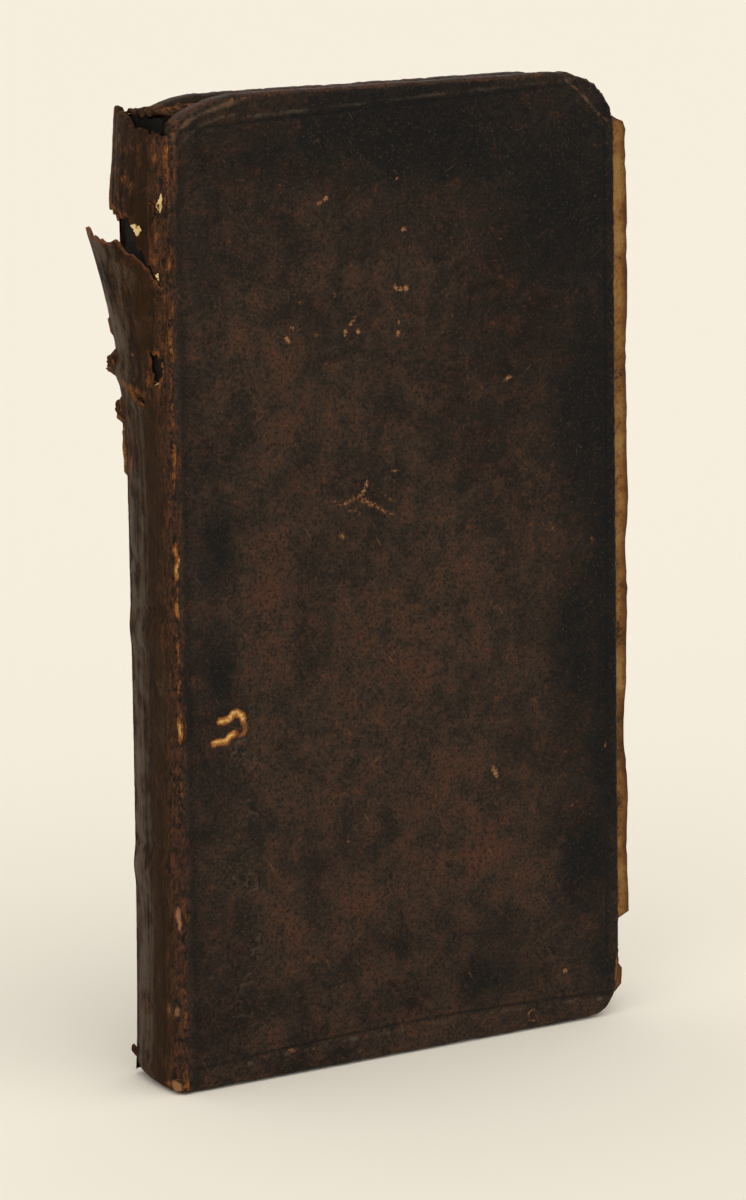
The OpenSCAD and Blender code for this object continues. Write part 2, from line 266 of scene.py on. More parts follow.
def finish(name, recipe, shine, **constants):
    """A material whose recipe gives the inputs that change over the surface."""
    material = bpy.data.materials.new(name)
    material.use_nodes = True
    tree = material.node_tree
    tree.nodes.clear()
    wire = Wire(tree)
    place = wire.node("ShaderNodeTexCoord", output="Object").stretched(1 / MM, 1 / MM, 1 / MM)
    inputs = {"Specular IOR Level": shine, **constants, **recipe(place)}
    shader = wire.node("ShaderNodeBsdfPrincipled", {}, inputs)
    out = tree.nodes.new("ShaderNodeOutputMaterial")
    tree.links.new(shader.socket, out.inputs["Surface"])
    return material


def painted(place, name):
    """A value painted on the mesh's vertices."""
    return place.node("ShaderNodeAttribute", {"attribute_name": name}, output="Fac")


def leather_browns(place, rub, cloud, mottle, speck, grit):
    """Clouded browns of handled leather, before its stains and its wear."""
    tone = place.clouds(36, 3, 0.6) * 0.32 + cloud * 0.4 + mottle * 0.28 + rub * 0.13
    browns = (0.39, "leather_dark"), (0.5, "leather"), (0.57, "leather_olive"), (0.68, "leather_warm")
    base = tone.ramp(*browns)
    hue = place.clouds(4.6, 5, 0.74) + (cloud - 0.5) * 0.4
    ember = place.clouds(1.7, 4, 0.72) + (hue - 0.5) * 0.35
    base = ((hue + rub * 0.1).rise(0.44, 0.78) * 0.55).blend(base, "leather_warm")
    base = (hue.rise(0.52, 0.3) * 0.42).blend(base, "leather_green")
    base = (speck.rise(0.53, 0.38) * 0.8).blend(base, "leather_dark")
    base = (speck.rise(0.56, 0.7) * 0.7).blend(base, "flesh")
    base = (ember.rise(0.6, 0.76) * 0.6).blend(base, "ember")
    return (grit.rise(0.58, 0.72) * 0.4).blend(base, "flesh")


def hair_scratches(place, base, cloud):
    """Hair-fine scratches in two directions, and bare pinpricks."""
    for angle, share in ((0.55, 0.3), (-1.0, 0.24)):
        inputs = {"Vector": place, "Angle": angle}
        turned = place.node("ShaderNodeVectorRotate", {"rotation_type": "Y_AXIS"}, inputs)
        hair = turned.stretched(1, 1, 0.05).clouds(0.42, 2, 0.6).rise(0.66, 0.74) * cloud.rise(0.46, 0.62)
        base = (hair * share).blend(base, "scuff")
    star = place.clouds(0.5, 2, 0.5).rise(0.71, 0.79)
    return (star * 0.45).blend(base, "scuff")


def cover_tooling(place, base, mottle, speck, fine):
    """The pressed lines with painted shade in the groove by the joint, the worm track, and the rosettes with
    painted highlights on their edges.
    """
    # Tooled lines in the leather's own dark, and painted shade in the groove by the joint
    base = (painted(place, "line") * 0.7 * (mottle * 2.4 - 0.3)).blend(base, "stain")
    track = painted(place, "track")
    base = (track + (speck - 0.5) * 0.7).rise(0.3, 0.62).blend(base, "fibre")
    base = (track + (speck - 0.5) * 0.9 + (fine - 0.5) * 0.5).rise(0.62, 1.05).blend(base, "track")
    flower, lit = tooled_flowers(place)
    base = (flower * 0.6).blend(base, "stain")
    # Painted highlights along the rosettes' edges
    return (lit * speck * 0.8).blend(base, "burnish")


def old_leather(place, spine=False):
    """Dark handled leather: clouded brown, red where rubbed, black where stained, bare where scuffed, grey
    where worn smooth or painted with sheen; on the spine, painted sheen streaks and a painted shade band.
    """
    cloud = place.clouds(10, 6, 0.68, 0.9)
    mottle = place.clouds(2.4, 5, 0.72, 0.3)
    speck = place.clouds(0.62, 5, 0.78)
    grit = place.clouds(0.4, 3, 0.7)
    fine = place.clouds(0.25, 2, 0.6)
    layers = ("wear", "stain", "rub", "scuff", "burnish")
    wear, stain, rub, scuff, polish_and_sheen = (painted(place, layer) for layer in layers)

    base = leather_browns(place, rub, cloud, mottle, speck, grit)
    black = stain * 1.2 + (cloud - 0.5) * 2.4 + (mottle - 0.5) * 1.4 + (speck - 0.5) * 0.5
    black = black.rise(0.27, 0.88)
    base = (black * 0.85).blend(base, "stain")
    base = (black * (speck * 0.5 + grit * 0.5).rise(0.53, 0.68) * 0.55).blend(base, "burnish")
    height = speck * 0.65 + fine * 0.15 + mottle * 0.7
    if spine:
        streak = place.stretched(1, 1, 0.3).clouds(1.1, 7, 0.78, 0.9)
        long = place.stretched(1, 1, 0.035).clouds(2.6, 4, 0.6, 0.4)
        patch = place.stretched(1, 1, 0.6).clouds(2.6, 7, 0.78, 1.2)
        base = (streak * 0.7).blend(base, "paper_dirt")
        base = (patch.rise(0.49, 0.62) * 0.8).blend(base, "leather_warm")
        base = (streak.rise(0.53, 0.63) * 0.75).blend(base, "flesh")
        base = (streak.rise(0.49, 0.39) * 0.85).blend(base, "leather_dark")
        base = (long.rise(0.47, 0.4) * 0.5).blend(base, "stain")
        wear = wear + (streak - 0.5) * 1.1 + (patch - 0.5) * 0.9
        # Painted sheen: long grey streaks down the spine
        polish_and_sheen = polish_and_sheen + (long - 0.5) * 2.6 + (streak - 0.5) * 0.5
        height = height + streak * 0.15
    worn = (wear + (mottle - 0.5) * 1.3 + (speck - 0.5) * 0.8).rise(0.42, 1.0)
    base = (worn.rise(0.0, 0.6) * 0.8).blend(base, "flesh")
    base = (worn.rise(0.55, 1.0) * 0.75).blend(base, "fibre")
    # Grey where the leather is worn smooth, and painted sheen where the layer carries it
    polish_and_sheen = (polish_and_sheen + (mottle - 0.5) * 0.6 + (speck - 0.5) * 0.6).rise(0.22, 0.85)
    base = (polish_and_sheen * 0.8).blend(base, "burnish")
    bare = (scuff * (1 + (speck - 0.5) * 3.2 + (fine - 0.5) * 1.6)).rise(0.28, 0.95)
    base = (bare.rise(0.0, 0.35) * 0.8).blend(base, "flesh")
    base = (bare.rise(0.25, 0.9) * 0.9).blend(base, "scuff")
    base = hair_scratches(place, base, cloud)
    if spine:
        # A painted shade band down the middle of the spine, carried in the line layer
        band = painted(place, "line")
        base = (band * 0.85).blend(base, "leather_dark")
        base = (band * 0.35).blend(base, "paper_dirt")
    else:
        base = cover_tooling(place, base, mottle, speck, fine)

    rough = 0.5 + (mottle - 0.5) * 0.5 + (speck - 0.5) * 0.3
    rough = rough + bare * 0.25 + worn * 0.2 - black * 0.08 - polish_and_sheen * 0.12
    return {"Base Color": base, "Roughness": rough, "Normal": (height - bare * 0.4).bump(0.24, 0.75)}


def spine_leather(place):
    return old_leather(place, spine=True)


def tooled_flowers(place):
    """Small blind-tooled rosettes along the joint, worn nearly flat: their pressed lines and lit edges."""
    from_joint, pitch = 15.4, 12.5
    waver = place.node("ShaderNodeTexNoise", {}, {"Vector": place, "Scale": 0.5, "Detail": 3.0}, "Color")
    inputs = {0: waver, 1: (2.4, 2.4, 2.4), 2: place}
    moved = place.node("ShaderNodeVectorMath", {"operation": "MULTIPLY_ADD"}, inputs)
    across, up = (place.node("ShaderNodeSeparateXYZ", {}, {0: moved}, axis) for axis in "XZ")
    across = across - (JOINT_X + from_joint)
    step = up / pitch
    along = (step - step.math("FLOOR", step) - 0.5) * pitch
    reach = across.math("SQRT", across * across + along * along)
    angle = across.math("ARCTAN2", along, across)
    petal = reach - angle.math("SINE", angle * 7) * 0.45
    turn = petal * 2.4 + angle * 2
    stem = across - across.math("SINE", along * 1.1) * 1.6
    near, far = reach.rise(4.6, 3.4), reach.rise(3.6, 4.6)
    kept = up.rise(8, 14) * up.rise(92, 74) * across.math("ABSOLUTE", across).rise(6, 4)
    kept = kept * place.clouds(5, 4, 0.7).rise(0.42, 0.62)
    pressed = turn.math("SINE", turn).rise(0.35, 0.95) * near
    pressed = pressed + stem.math("ABSOLUTE", stem).rise(0.7, 0.1) * far
    lit = turn.math("SINE", turn + 2.4).rise(0.45, 0.95) * near
    lit = lit + stem.math("ABSOLUTE", stem - 0.7).rise(0.5, 0.1) * far
    return pressed * kept, lit * kept


def torn_leather(place):
    """The fibrous side of the leather, seen where it is torn or turned."""
    strand = place.stretched(1, 1, 0.35).clouds(0.5, 5, 0.7)
    blotch = place.clouds(3.0, 4, 0.6)
    tone = strand * 0.6 + blotch * 0.4
    base = tone.ramp((0.32, "leather_dark"), (0.46, "flesh"), (0.6, "fibre"), (0.8, "scuff"))
    return {"Base Color": base, "Roughness": 0.8 + (strand - 0.5) * 0.2, "Normal": strand.bump(0.3, 0.7)}


def joint_leather(place):
    """Leather cracked along the joint: brown, with bare fibres in runs."""
    strand = place.stretched(1, 1, 0.38).clouds(0.5, 6, 0.76, 0.6)
    run = painted(place, "scuff")
    blotch = place.clouds(2.2, 5, 0.7, 0.5)
    tone = strand * 0.6 + blotch * 0.4
    base = tone.ramp((0.37, "leather_dark"), (0.46, "leather"), (0.54, "leather_warm"), (0.68, "flesh"))
    bare = run + (strand - 0.5) * 2.0 + (blotch - 0.5) * 1.5
    base = ((painted(place, "rub") + (blotch - 0.5) * 0.8).rise(0.35, 0.7) * 0.8).blend(base, "scuff")
    base = (bare.rise(0.3, 0.8) * 0.85).blend(base, "fibre")
    base = (bare.rise(0.75, 1.35) * 0.6).blend(base, "track")
    rough = 0.66 + (strand - 0.5) * 0.3
    return {"Base Color": base, "Roughness": rough, "Normal": (strand + blotch).bump(0.3, 0.7)}


def leaf_paper(place):
    """Rag paper, browned and dirty towards its edges, and darkened towards its head and tail inside the
    covers.
    """
    edge = painted(place, "edge")
    cloud = place.clouds(9, 5, 0.6)
    fleck = place.clouds(0.9, 4, 0.7)
    broad = place.clouds(42, 4, 0.6, 0.8)
    tone = broad * 0.6 + cloud * 0.2 + fleck * 0.2
    clean = tone.ramp((0.2, "paper_edge"), (0.52, "paper"), (0.8, "paper"))
    clean = (place.clouds(5, 3, 0.55).rise(0.66, 0.76) * 0.4).blend(clean, "paper_edge")
    dirty = (cloud * 0.65 + fleck * 0.35).ramp((0.4, "paper_dirt"), (0.5, "paper_edge"), (0.58, "hemp"))
    # Darker towards the head and tail inside the covers
    dust = painted(place, "dust")
    dirty = dust.blend(dirty, "leather_dark")
    base = (edge + (cloud - 0.5) * 0.5).rise(0.15, 0.6).blend(clean, dirty)
    rim = (edge + (fleck - 0.5) * 0.35).rise(0.84, 1.0)
    base = (rim * (1 - dust) * 0.8).blend(base, "paper_dirt")
    return {"Base Color": base, "Roughness": 0.86 + (fleck - 0.5) * 0.12, "Normal": fleck.bump(0.12, 0.5)}


def endpaper(place):
    """Paper pasted inside a cover, foxed and browned where the leather lies under it."""
    cloud = place.clouds(24, 5, 0.6)
    fleck = place.clouds(1.2, 5, 0.68)
    spot = place.clouds(4.5, 3, 0.5).rise(0.66, 0.74)
    base = (cloud * 0.7 + fleck * 0.3).ramp((0.2, "hemp"), (0.52, "paper"), (0.7, "paper"))
    base = (spot * 0.6).blend(base, "paper_edge")
    across, up = (place.node("ShaderNodeSeparateXYZ", {}, {0: place}, axis) for axis in "XZ")
    ragged_line = (place.clouds(6, 4, 0.6) - 0.5) * 4
    from_middle = up - FRONT_H / 2
    from_middle = from_middle.math("ABSOLUTE", from_middle)
    inner, outer = -13, -11
    near_edge = (across - (JOINT_X + COVER_W) + ragged_line).rise(inner, outer)
    near_ends = (from_middle - FRONT_H / 2 + ragged_line).rise(inner, outer)
    base = (near_edge.math("MAXIMUM", near_edge, near_ends) * 0.5).blend(base, "paper_edge")
    return {"Base Color": base, "Roughness": 0.85 + (fleck - 0.5) * 0.1, "Normal": fleck.bump(0.1, 0.4)}


def spine_paper(place):
    """Lining of the spine: dark with old paste and darkened further as painted shade where it shows in the
    holes and the tear, pale in a few clean places.
    """
    cloud = place.clouds(5, 5, 0.65)
    fleck = place.clouds(0.8, 4, 0.7)
    base = (cloud * 0.6 + fleck * 0.4).ramp((0.54, "leather_dark"), (0.7, "paper_dirt"), (0.82, "lining"))
    return {"Base Color": base, "Roughness": 0.85 + (fleck - 0.5) * 0.1, "Normal": fleck.bump(0.2, 0.6)}


def clean_flake(place):
    """Scraps of lining paper that catch the light in the tear."""
    fleck = place.clouds(1.1, 4, 0.7)
    base = fleck.ramp((0.36, "paper_edge"), (0.48, "lining"), (0.7, "paper"))
    return {"Base Color": base, "Roughness": 0.85 + (fleck - 0.5) * 0.1, "Normal": fleck.bump(0.2, 0.6)}


def pasteboard(place):
    """Layered pasteboard, grey-brown and fibrous."""
    layer = place.stretched(0.25, 3.0, 0.25).clouds(1.0, 4, 0.6)
    fleck = place.clouds(0.9, 4, 0.7)
    base = (layer * 0.5 + fleck * 0.5).ramp((0.34, "paper_edge"), (0.52, "board"), (0.72, "hemp"))
    rough = 0.88 + (fleck - 0.5) * 0.1
    return {"Base Color": base, "Roughness": rough, "Normal": (layer + fleck).bump(0.25, 0.6)}


def hemp_cord(place):
    """Twisted cord."""
    settings = {"wave_type": "BANDS", "bands_direction": "DIAGONAL"}
    inputs = {"Vector": place.stretched(1, 1, 1.6), "Scale": 0.32, "Distortion": 1.2}
    twist = place.node("ShaderNodeTexWave", settings, inputs, "Fac")
    fleck = place.clouds(0.5, 4, 0.7)
    base = (twist * 0.5 + fleck * 0.5).ramp((0.3, "paper_dirt"), (0.52, "hemp"), (0.74, "paper"))
    rough = 0.85 + (fleck - 0.5) * 0.1
    return {"Base Color": base, "Roughness": rough, "Normal": (twist + fleck * 0.4).bump(0.3, 0.7)}


def floor_paint(place):
    """Plain pale floor, a little uneven in its sheen."""
    return {"Base Color": tint("floor"), "Roughness": 0.85 + (place.clouds(60, 3) - 0.5) * 0.1}


# Mesh tools


def deselect():
    if bpy.context.object and bpy.context.object.mode != "OBJECT":
        bpy.ops.object.mode_set(mode="OBJECT")
    bpy.ops.object.select_all(action="DESELECT")


def only(piece):
    """Makes a piece the active and only selected object."""
    deselect()
    piece.select_set(True)
    bpy.context.view_layer.objects.active = piece


def sheet(name, columns, rows):
    """A flat grid, with the numbers of its vertices by row and column."""
    deselect()
    bpy.ops.mesh.primitive_grid_add(x_subdivisions=columns, y_subdivisions=rows, size=2)
    piece = bpy.context.object
    piece.name = piece.data.name = name
    flat = places(piece)
    order = np.lexsort((np.round(flat[:, 0], 9), np.round(flat[:, 1], 9)))
    per_row = int(np.sum(np.isclose(flat[:, 1], flat[:, 1].min())))
    return piece, order.reshape(-1, per_row)


def places(piece):
    """The vertices' places in millimetres."""
    flat = np.empty(len(piece.data.vertices) * 3)
    piece.data.vertices.foreach_get("co", flat)
    return flat.reshape(-1, 3) / MM


def put(piece, spots):
    """Moves the vertices to the given places in millimetres."""
    piece.data.vertices.foreach_set("co", (np.asarray(spots) * MM).ravel())
    piece.data.update()


def pick(piece, kind, chosen):
    """Selects only the chosen vertices, edges or faces, ready for edit mode."""
    only(piece)
    parts = {"VERT": piece.data.vertices, "EDGE": piece.data.edges, "FACE": piece.data.polygons}
    for part in parts.values():
        part.foreach_set("select", np.zeros(len(part), bool))
    parts[kind].foreach_set("select", np.asarray(chosen, bool))
    bpy.context.tool_settings.mesh_select_mode = [kind == mode for mode in ("VERT", "EDGE", "FACE")]


def edit(action, **settings):
    """Runs one edit-mode operator on the selection."""
    bpy.ops.object.mode_set(mode="EDIT")
    action(**settings)
    bpy.ops.object.mode_set(mode="OBJECT")


def extrude_chain(piece, chain):
    """Extrudes the edges along a chain of vertices in place, and gives the new chain in the same order."""
    kept = places(piece)
    marked = kept.copy()
    marked[chain] = np.array([(number, 0, 0) for number in range(len(chain))], float) * 1000
    put(piece, marked)
    pairs = {frozenset(pair) for pair in zip(chain, chain[1:])}
    pick(piece, "EDGE", [frozenset(edge.vertices) in pairs for edge in piece.data.edges])
    edit(bpy.ops.mesh.extrude_edges_indiv)
    grown = places(piece)
    fresh = np.arange(len(kept), len(grown))
    fresh = fresh[np.argsort(grown[fresh, 0])]
    grown[: len(kept)] = kept
    grown[fresh] = kept[chain]
    put(piece, grown)
    return list(fresh)


def weld(piece, millimetres):
    """Merges vertices that lie closer together than this."""
    pick(piece, "VERT", np.ones(len(piece.data.vertices)))
    edit(bpy.ops.mesh.remove_doubles, threshold=millimetres * MM)


def drop_faces(piece, chosen):
    """Deletes faces and what hung on them alone."""
    pick(piece, "FACE", chosen)
    edit(bpy.ops.mesh.delete, type="FACE")


def face_centres(piece, values):
    """The mean of a per-vertex value over each face's corners."""
    return np.array([np.mean([values[v] for v in face.vertices], axis=0) for face in piece.data.polygons])


def face_out(piece, towards):
    """Turns the faces so that on the whole they point the given way."""
    normals = np.empty(len(piece.data.polygons) * 3)
    piece.data.polygons.foreach_get("normal", normals)
    if np.dot(normals.reshape(-1, 3).mean(axis=0), towards) < 0:
        pick(piece, "FACE", np.ones(len(piece.data.polygons)))
        edit(bpy.ops.mesh.flip_normals)


def modify(piece, kind, **settings):
    """Adds a modifier and applies it."""
    only(piece)
    modifier = piece.modifiers.new(kind.title(), kind)
    for name, value in settings.items():
        setattr(modifier, name, value)
    bpy.ops.object.modifier_apply(modifier=modifier.name)


def merge(pieces, name):
    """Joins pieces into the first."""
    only(pieces[0])
    for piece in pieces[1:]:
        piece.select_set(True)
    if len(pieces) > 1:
        bpy.ops.object.join()
    pieces[0].name = pieces[0].data.name = name
    return pieces[0]


def paint(piece, name, values):
    """Keeps one value per vertex on the mesh, for a finish to read."""
    layer = piece.data.attributes.get(name) or piece.data.attributes.new(name, "FLOAT", "POINT")
    layer.data.foreach_set("value", np.asarray(values, np.float32))


def smooth(piece, degrees=50):
    only(piece)
    bpy.ops.object.shade_smooth_by_angle(angle=math.radians(degrees))


def dress(piece, *materials):
    piece.data.materials.clear()
    for material in materials:
        piece.data.materials.append(material)


def grain(spots, size, octaves=3):
    """Smooth noise of about -1 to 1 at each place."""
    return np.array([noise.fractal(Vector(spot), 1.0, 2.0, octaves) for spot in np.asarray(spots) / size])


def points(x, y, z):
    """Places from their coordinates, any of which may be one number for all."""
    return np.stack(np.broadcast_arrays(x, y, z), axis=-1).astype(float)


def by_vertex(number, values):
    """Values given row by row, put in the order of a grid's vertices."""
    ordered = np.empty((number.size, *np.shape(values)[1:]))
    ordered[number.ravel()] = values
    return ordered


def bounded(value):
    """The value, held between 0 and 1."""
    return np.clip(value, 0, 1)


def ease(value, low, high):
    """0 below low, 1 above high and a smooth step between, either way round."""
    share = bounded((value - low) / (high - low))
    return share * share * (3 - 2 * share)


def fade(distance, width):
    """1 at no distance, and nearly nothing at twice the width."""
    return np.exp(-((distance / width) ** 2))


def bell(value):
    """1 at 0, falling in a half wave to 0 at 1 either way."""
    return np.where(np.abs(value) < 1, (1 + np.cos(np.pi * np.clip(value, -1, 1))) / 2, 0)


def near_path(x, z, *corners):
    """Distance of each place from a path of straight runs."""
    best = np.full(np.shape(x), np.inf)
    for (start_x, start_z), (end_x, end_z) in zip(corners, corners[1:]):
        run_x, run_z = end_x - start_x, end_z - start_z
        dx, dz = x - start_x, z - start_z
        along = bounded((dx * run_x + dz * run_z) / (run_x ** 2 + run_z ** 2))
        best = np.minimum(best, np.hypot(dx - along * run_x, dz - along * run_z))
    return best


def blot(x, z, at_x, at_z, wide, high, turn=0.0):
    """1 at a mark's middle and 0 beyond its size, for an oval that may be turned."""
    across, up = np.cos(np.radians(turn)), np.sin(np.radians(turn))
    dx, dz = x - at_x, z - at_z
    return bell(np.hypot((dx * across + dz * up) / wide, (dz * across - dx * up) / high))


# Covers


def curve(start, pull, end, steps=14):
    """Points on a quadratic curve."""
    t = np.linspace(0, 1, steps)[:, None]
    return (1 - t) ** 2 * np.array(start) + 2 * t * (1 - t) * np.array(pull) + t ** 2 * np.array(end)


def flare(z):
    """How much wider a cover is towards its tail."""
    return 0.75 * bounded(1 - z / FRONT_H) ** 1.3


def cover_sides(z, height, inset):
    """Where a cover starts and ends across, at each height, measured from its joint."""
    width, top = COVER_W - inset, height - inset
    corner, cut_w, cut_h = mm("head_corner"), mm("joint_cut_w"), mm("joint_cut_h")
    tail = curve((width - mm("tail_corner_w"), inset), (width, inset), (width, inset + mm("tail_corner_h")))
    head = curve((width, top - corner), (width - corner / 7, top - corner / 7), (width - corner, top))
    cut = curve((0, top - cut_h), (cut_w / 4, top - cut_h / 5), (cut_w, top))
    fore = np.vstack([tail, head])
    return np.interp(z, cut[:, 1], cut[:, 0]), np.interp(z, fore[:, 1], fore[:, 0]) + flare(z)


def rim_outward(outline):
    """Directions out of an outline that runs along the tail, up the fore-edge and back along the head."""
    ahead = np.vstack([outline[1:], outline[-1:]]) - np.vstack([outline[:1], outline[:-1]])
    out = np.stack([ahead[:, 1], -ahead[:, 0]], axis=1)
    out[0] = 0, -1
    return out / np.linalg.norm(out, axis=1)[:, None]


def fillet_lines(x, height):
    """Heights of the tooled border's head line, which slopes, and tail line, which bows."""
    inset = mm("fillet_inset")
    head = height - inset - 1.4 + 0.04 * (x - 10)
    tail = inset + 1.8 * np.sin(np.pi * bounded(x / 108))
    return head, tail


def fillet_depth(x, z, height):
    """The tooled border: a pressed line along the free sides of the cover, and a fainter one inside it."""
    head, tail = fillet_lines(x, height)
    fore = COVER_W - 2.6
    inside = (z < head + 0.7) & (z > tail - 0.7) & (x < fore + 0.7)
    depth = 0
    for gap, strength in ((0.0, 1), (1.5, 0.35)):
        line = np.minimum.reduce([np.abs(z - head + gap), np.abs(z - tail - gap), np.abs(x - fore + gap)])
        depth = np.maximum(depth, np.where(inside, fade(line, 0.36), 0) * strength)
    return depth


FRONT_SCUFFS = (
    # x, z, width, height, turn and strength of each bare place on the front cover
    (34.9, 178.2, 0.9, 0.8, 0, 1.0), (33.4, 177.4, 1.3, 0.6, 25, 0.8), (52.8, 170.8, 1.1, 1.0, 20, 0.75),
    (50.6, 159.3, 0.8, 1.1, 15, 0.9), (52.0, 158.9, 0.8, 0.9, 0, 1.0), (53.2, 158.9, 0.9, 1.1, -20, 1.0),
    (26.9, 153.1, 0.5, 1.2, 35, 1.0), (25.8, 150.9, 0.7, 1.5, 35, 1.1), (32.4, 151.2, 0.7, 0.7, 0, 0.8),
    (39.0, 151.2, 0.8, 1.3, 0, 0.85), (40.4, 152.8, 1.0, 0.7, 40, 0.85), (42.0, 151.2, 0.8, 1.0, -30, 0.95),
    (41.2, 154.0, 0.6, 0.9, 20, 0.7),
    (51.3, 152.2, 0.7, 0.8, 0, 0.85), (51.2, 150.0, 0.9, 1.2, -20, 0.9), (28.8, 157.9, 0.8, 0.8, 0, 0.6),
    (36.6, 159.0, 0.9, 1.0, 0, 0.6),
    (77.2, 138.5, 1.8, 0.9, 25, 0.8), (73.3, 56.6, 0.9, 2.4, 25, 1.0), (83.2, 70.6, 2.2, 1.1, -25, 0.55),
    (97.5, 102.7, 0.8, 2.6, 5, 0.5), (37.9, 47.2, 0.8, 2.2, 10, 0.55), (8.3, 101.0, 1.2, 0.6, 0, 0.5),
    (100.6, 58.7, 1.0, 1.4, 0, 0.6), (33.4, 161.5, 0.7, 0.7, 0, 0.6), (9.8, 159.1, 0.7, 2.0, 0, 0.45),
    (15.7, 183.2, 2.8, 1.2, 35, 0.4), (63.0, 141.0, 0.8, 0.8, 0, 0.5), (20.5, 134.0, 1.4, 0.6, 10, 0.55),
    (90.3, 11.4, 1.2, 1.4, 0, 0.7), (24.0, 5.0, 2.2, 1.1, 5, 0.6), (29.5, 4.4, 1.6, 0.9, 5, 0.5),
    (60.0, 120.0, 0.7, 0.5, 0, 0.5), (46.0, 95.0, 0.6, 0.6, 0, 0.45), (68.0, 92.0, 0.5, 0.6, 0, 0.45),
    (32.0, 88.0, 0.6, 0.5, 0, 0.4), (55.0, 30.0, 0.7, 0.5, 0, 0.4), (80.0, 119.0, 0.6, 0.6, 0, 0.45),
    (86.0, 168.0, 0.6, 0.6, 0, 0.4), (48.0, 136.0, 0.7, 0.6, 0, 0.5), (70.0, 176.0, 0.6, 0.5, 0, 0.4),
)
FRONT_SCRATCHES = (
    # strength, half width and corners of each scratch on the front cover
    (0.62, 0.75, (36.1, 117.2), (38.4, 116.7), (39.6, 117.2), (41.5, 117.6), (42.4, 118.3)),
    (0.64, 0.75, (42.4, 118.3), (43.3, 119.5), (43.6, 120.5)),
    (0.66, 0.85, (42.4, 117.1), (44.3, 116.0), (45.7, 115.4), (47.1, 114.3)),
    (0.56, 0.75, (47.1, 114.3), (48.5, 113.6), (49.6, 113.1)),
    (0.5, 0.7, (45.4, 119.2), (46.6, 118.4)), (0.5, 0.8, (47.4, 117.4), (48.4, 116.8), (50.1, 116.0)),
    (0.5, 0.7, (38.2, 115.5), (40.5, 115.0), (41.9, 114.3)), (0.45, 0.6, (32.1, 114.9), (34.0, 113.9)),
    (0.65, 0.7, (49.7, 122.4), (51.0, 121.9)),
    (0.7, 0.7, (37.2, 110.4), (37.8, 109.9)), (0.5, 0.6, (36.6, 121.4), (37.6, 120.6)),
    (0.4, 0.3, (56.0, 166.5), (64.0, 161.0)), (0.3, 0.3, (66.0, 164.5), (74.0, 158.0)),
    (0.35, 0.3, (61.0, 157.0), (70.0, 163.0)), (0.3, 0.3, (70.0, 155.0), (76.0, 161.0)),
    (0.3, 0.3, (80.0, 187.0), (86.0, 180.0)), (0.3, 0.3, (77.0, 180.0), (84.0, 187.5)),
)
FRONT_RINGS = (
    # x, z, radius, half width and strength of each ring-shaped scuff, and where across it starts
    (82.2, 2.9, 1.2, 0.45, 0.6, 0), (50.6, 181.7, 1.0, 0.3, 0.7, 50.4), (93.5, 45.7, 1.7, 0.5, 0.45, 0),
)
WORM_TRACK = (
    # strength, half width and corners of each run of the worm track
    (1.0, 0.85, (8.8, 75.6), (10.0, 75.6), (11.2, 76.0), (11.8, 76.8), (12.7, 77.0), (13.9, 76.2),
     (14.2, 75.2)),
    (0.56, 0.9, (14.2, 74.9), (14.6, 73.5), (14.2, 72.4), (12.7, 72.1)),
    (1.0, 0.8, (12.0, 72.8), (10.8, 72.3), (10.2, 71.4), (8.3, 71.5), (7.3, 71.3)),
)
FRONT_STAINS = (
    # x, z, width, height and strength of each dark place on the front cover
    (8.5, 112, 7, 14, 0.76), (14.6, 115, 4.5, 6, 0.6), (8.5, 88, 6, 12, 0.76), (8, 58.6, 6, 10, 0.45),
    (7, 37.4, 6, 14, 0.3), (52, 12.5, 16, 6, 0.55), (70, 13.5, 16, 8, 0.8), (9, 18, 8, 10, 0.3),
    (95, 82, 12, 26, 0.95), (96, 35, 10, 18, 0.9), (97.5, 130, 14, 34, 1.0), (102, 100, 10, 99, 1.0),
    (92, 176, 28, 32, 0.92), (60, 192, 60, 20, 0.9), (24, 188, 24, 12, 0.6), (8, 165, 8, 24, 0.3),
    (82, 150, 18, 20, 0.4), (48, 172, 20, 9, 0.45), (103, 12, 12, 16, 0.75),
)
FRONT_RUBS = (
    # x, z, width, height and strength of each red-brown place on the front cover
    (44, 150, 36, 30, 0.28), (52, 90, 42, 46, 0.65), (60, 46, 44, 38, 1.0), (50, 14, 44, 16, 0.7),
    (14, 154, 8, 8, 0.8), (40, 60, 30, 20, 0.5), (30, 135, 20, 20, 0.5), (23, 140, 9, 26, 0.8),
    (20, 92, 11, 40, 1.0), (23, 30, 12, 26, 0.95), (42, 33, 18, 16, 1.0), (20, 9, 14, 9, 1.0),
    (15, 152, 9, 16, 0.9),
)


def scored(x, z, runs):
    """The strongest of several scored lines at each place."""
    lines = [strength * fade(near_path(x, z, *corners), half) for strength, half, *corners in runs]
    return np.maximum.reduce(lines)


def front_marks(x, z):
    """Values of wear on the front cover's face, as its marks lie in the photo."""
    spread = 1.35
    scuffs = [scored(x, z, FRONT_SCRATCHES)]
    for at_x, at_z, wide, high, turn, strength in FRONT_SCUFFS:
        scuffs.append(strength * blot(x, z, at_x, at_z, wide * spread, high * spread, turn))
    for at_x, at_z, radius, half, strength, from_x in FRONT_RINGS:
        scuffs.append(strength * fade(np.hypot(x - at_x, z - at_z) - radius, half) * (x > from_x))
    stains_and_shade = [strength * np.sqrt(blot(x, z, *oval)) for *oval, strength in FRONT_STAINS]
    rubs = [strength * blot(x, z, *oval) for *oval, strength in FRONT_RUBS]
    scuff, stain, rub = (np.maximum.reduce(marks) for marks in (scuffs, stains_and_shade, rubs))
    return scuff, stain, rub, scored(x, z, WORM_TRACK)


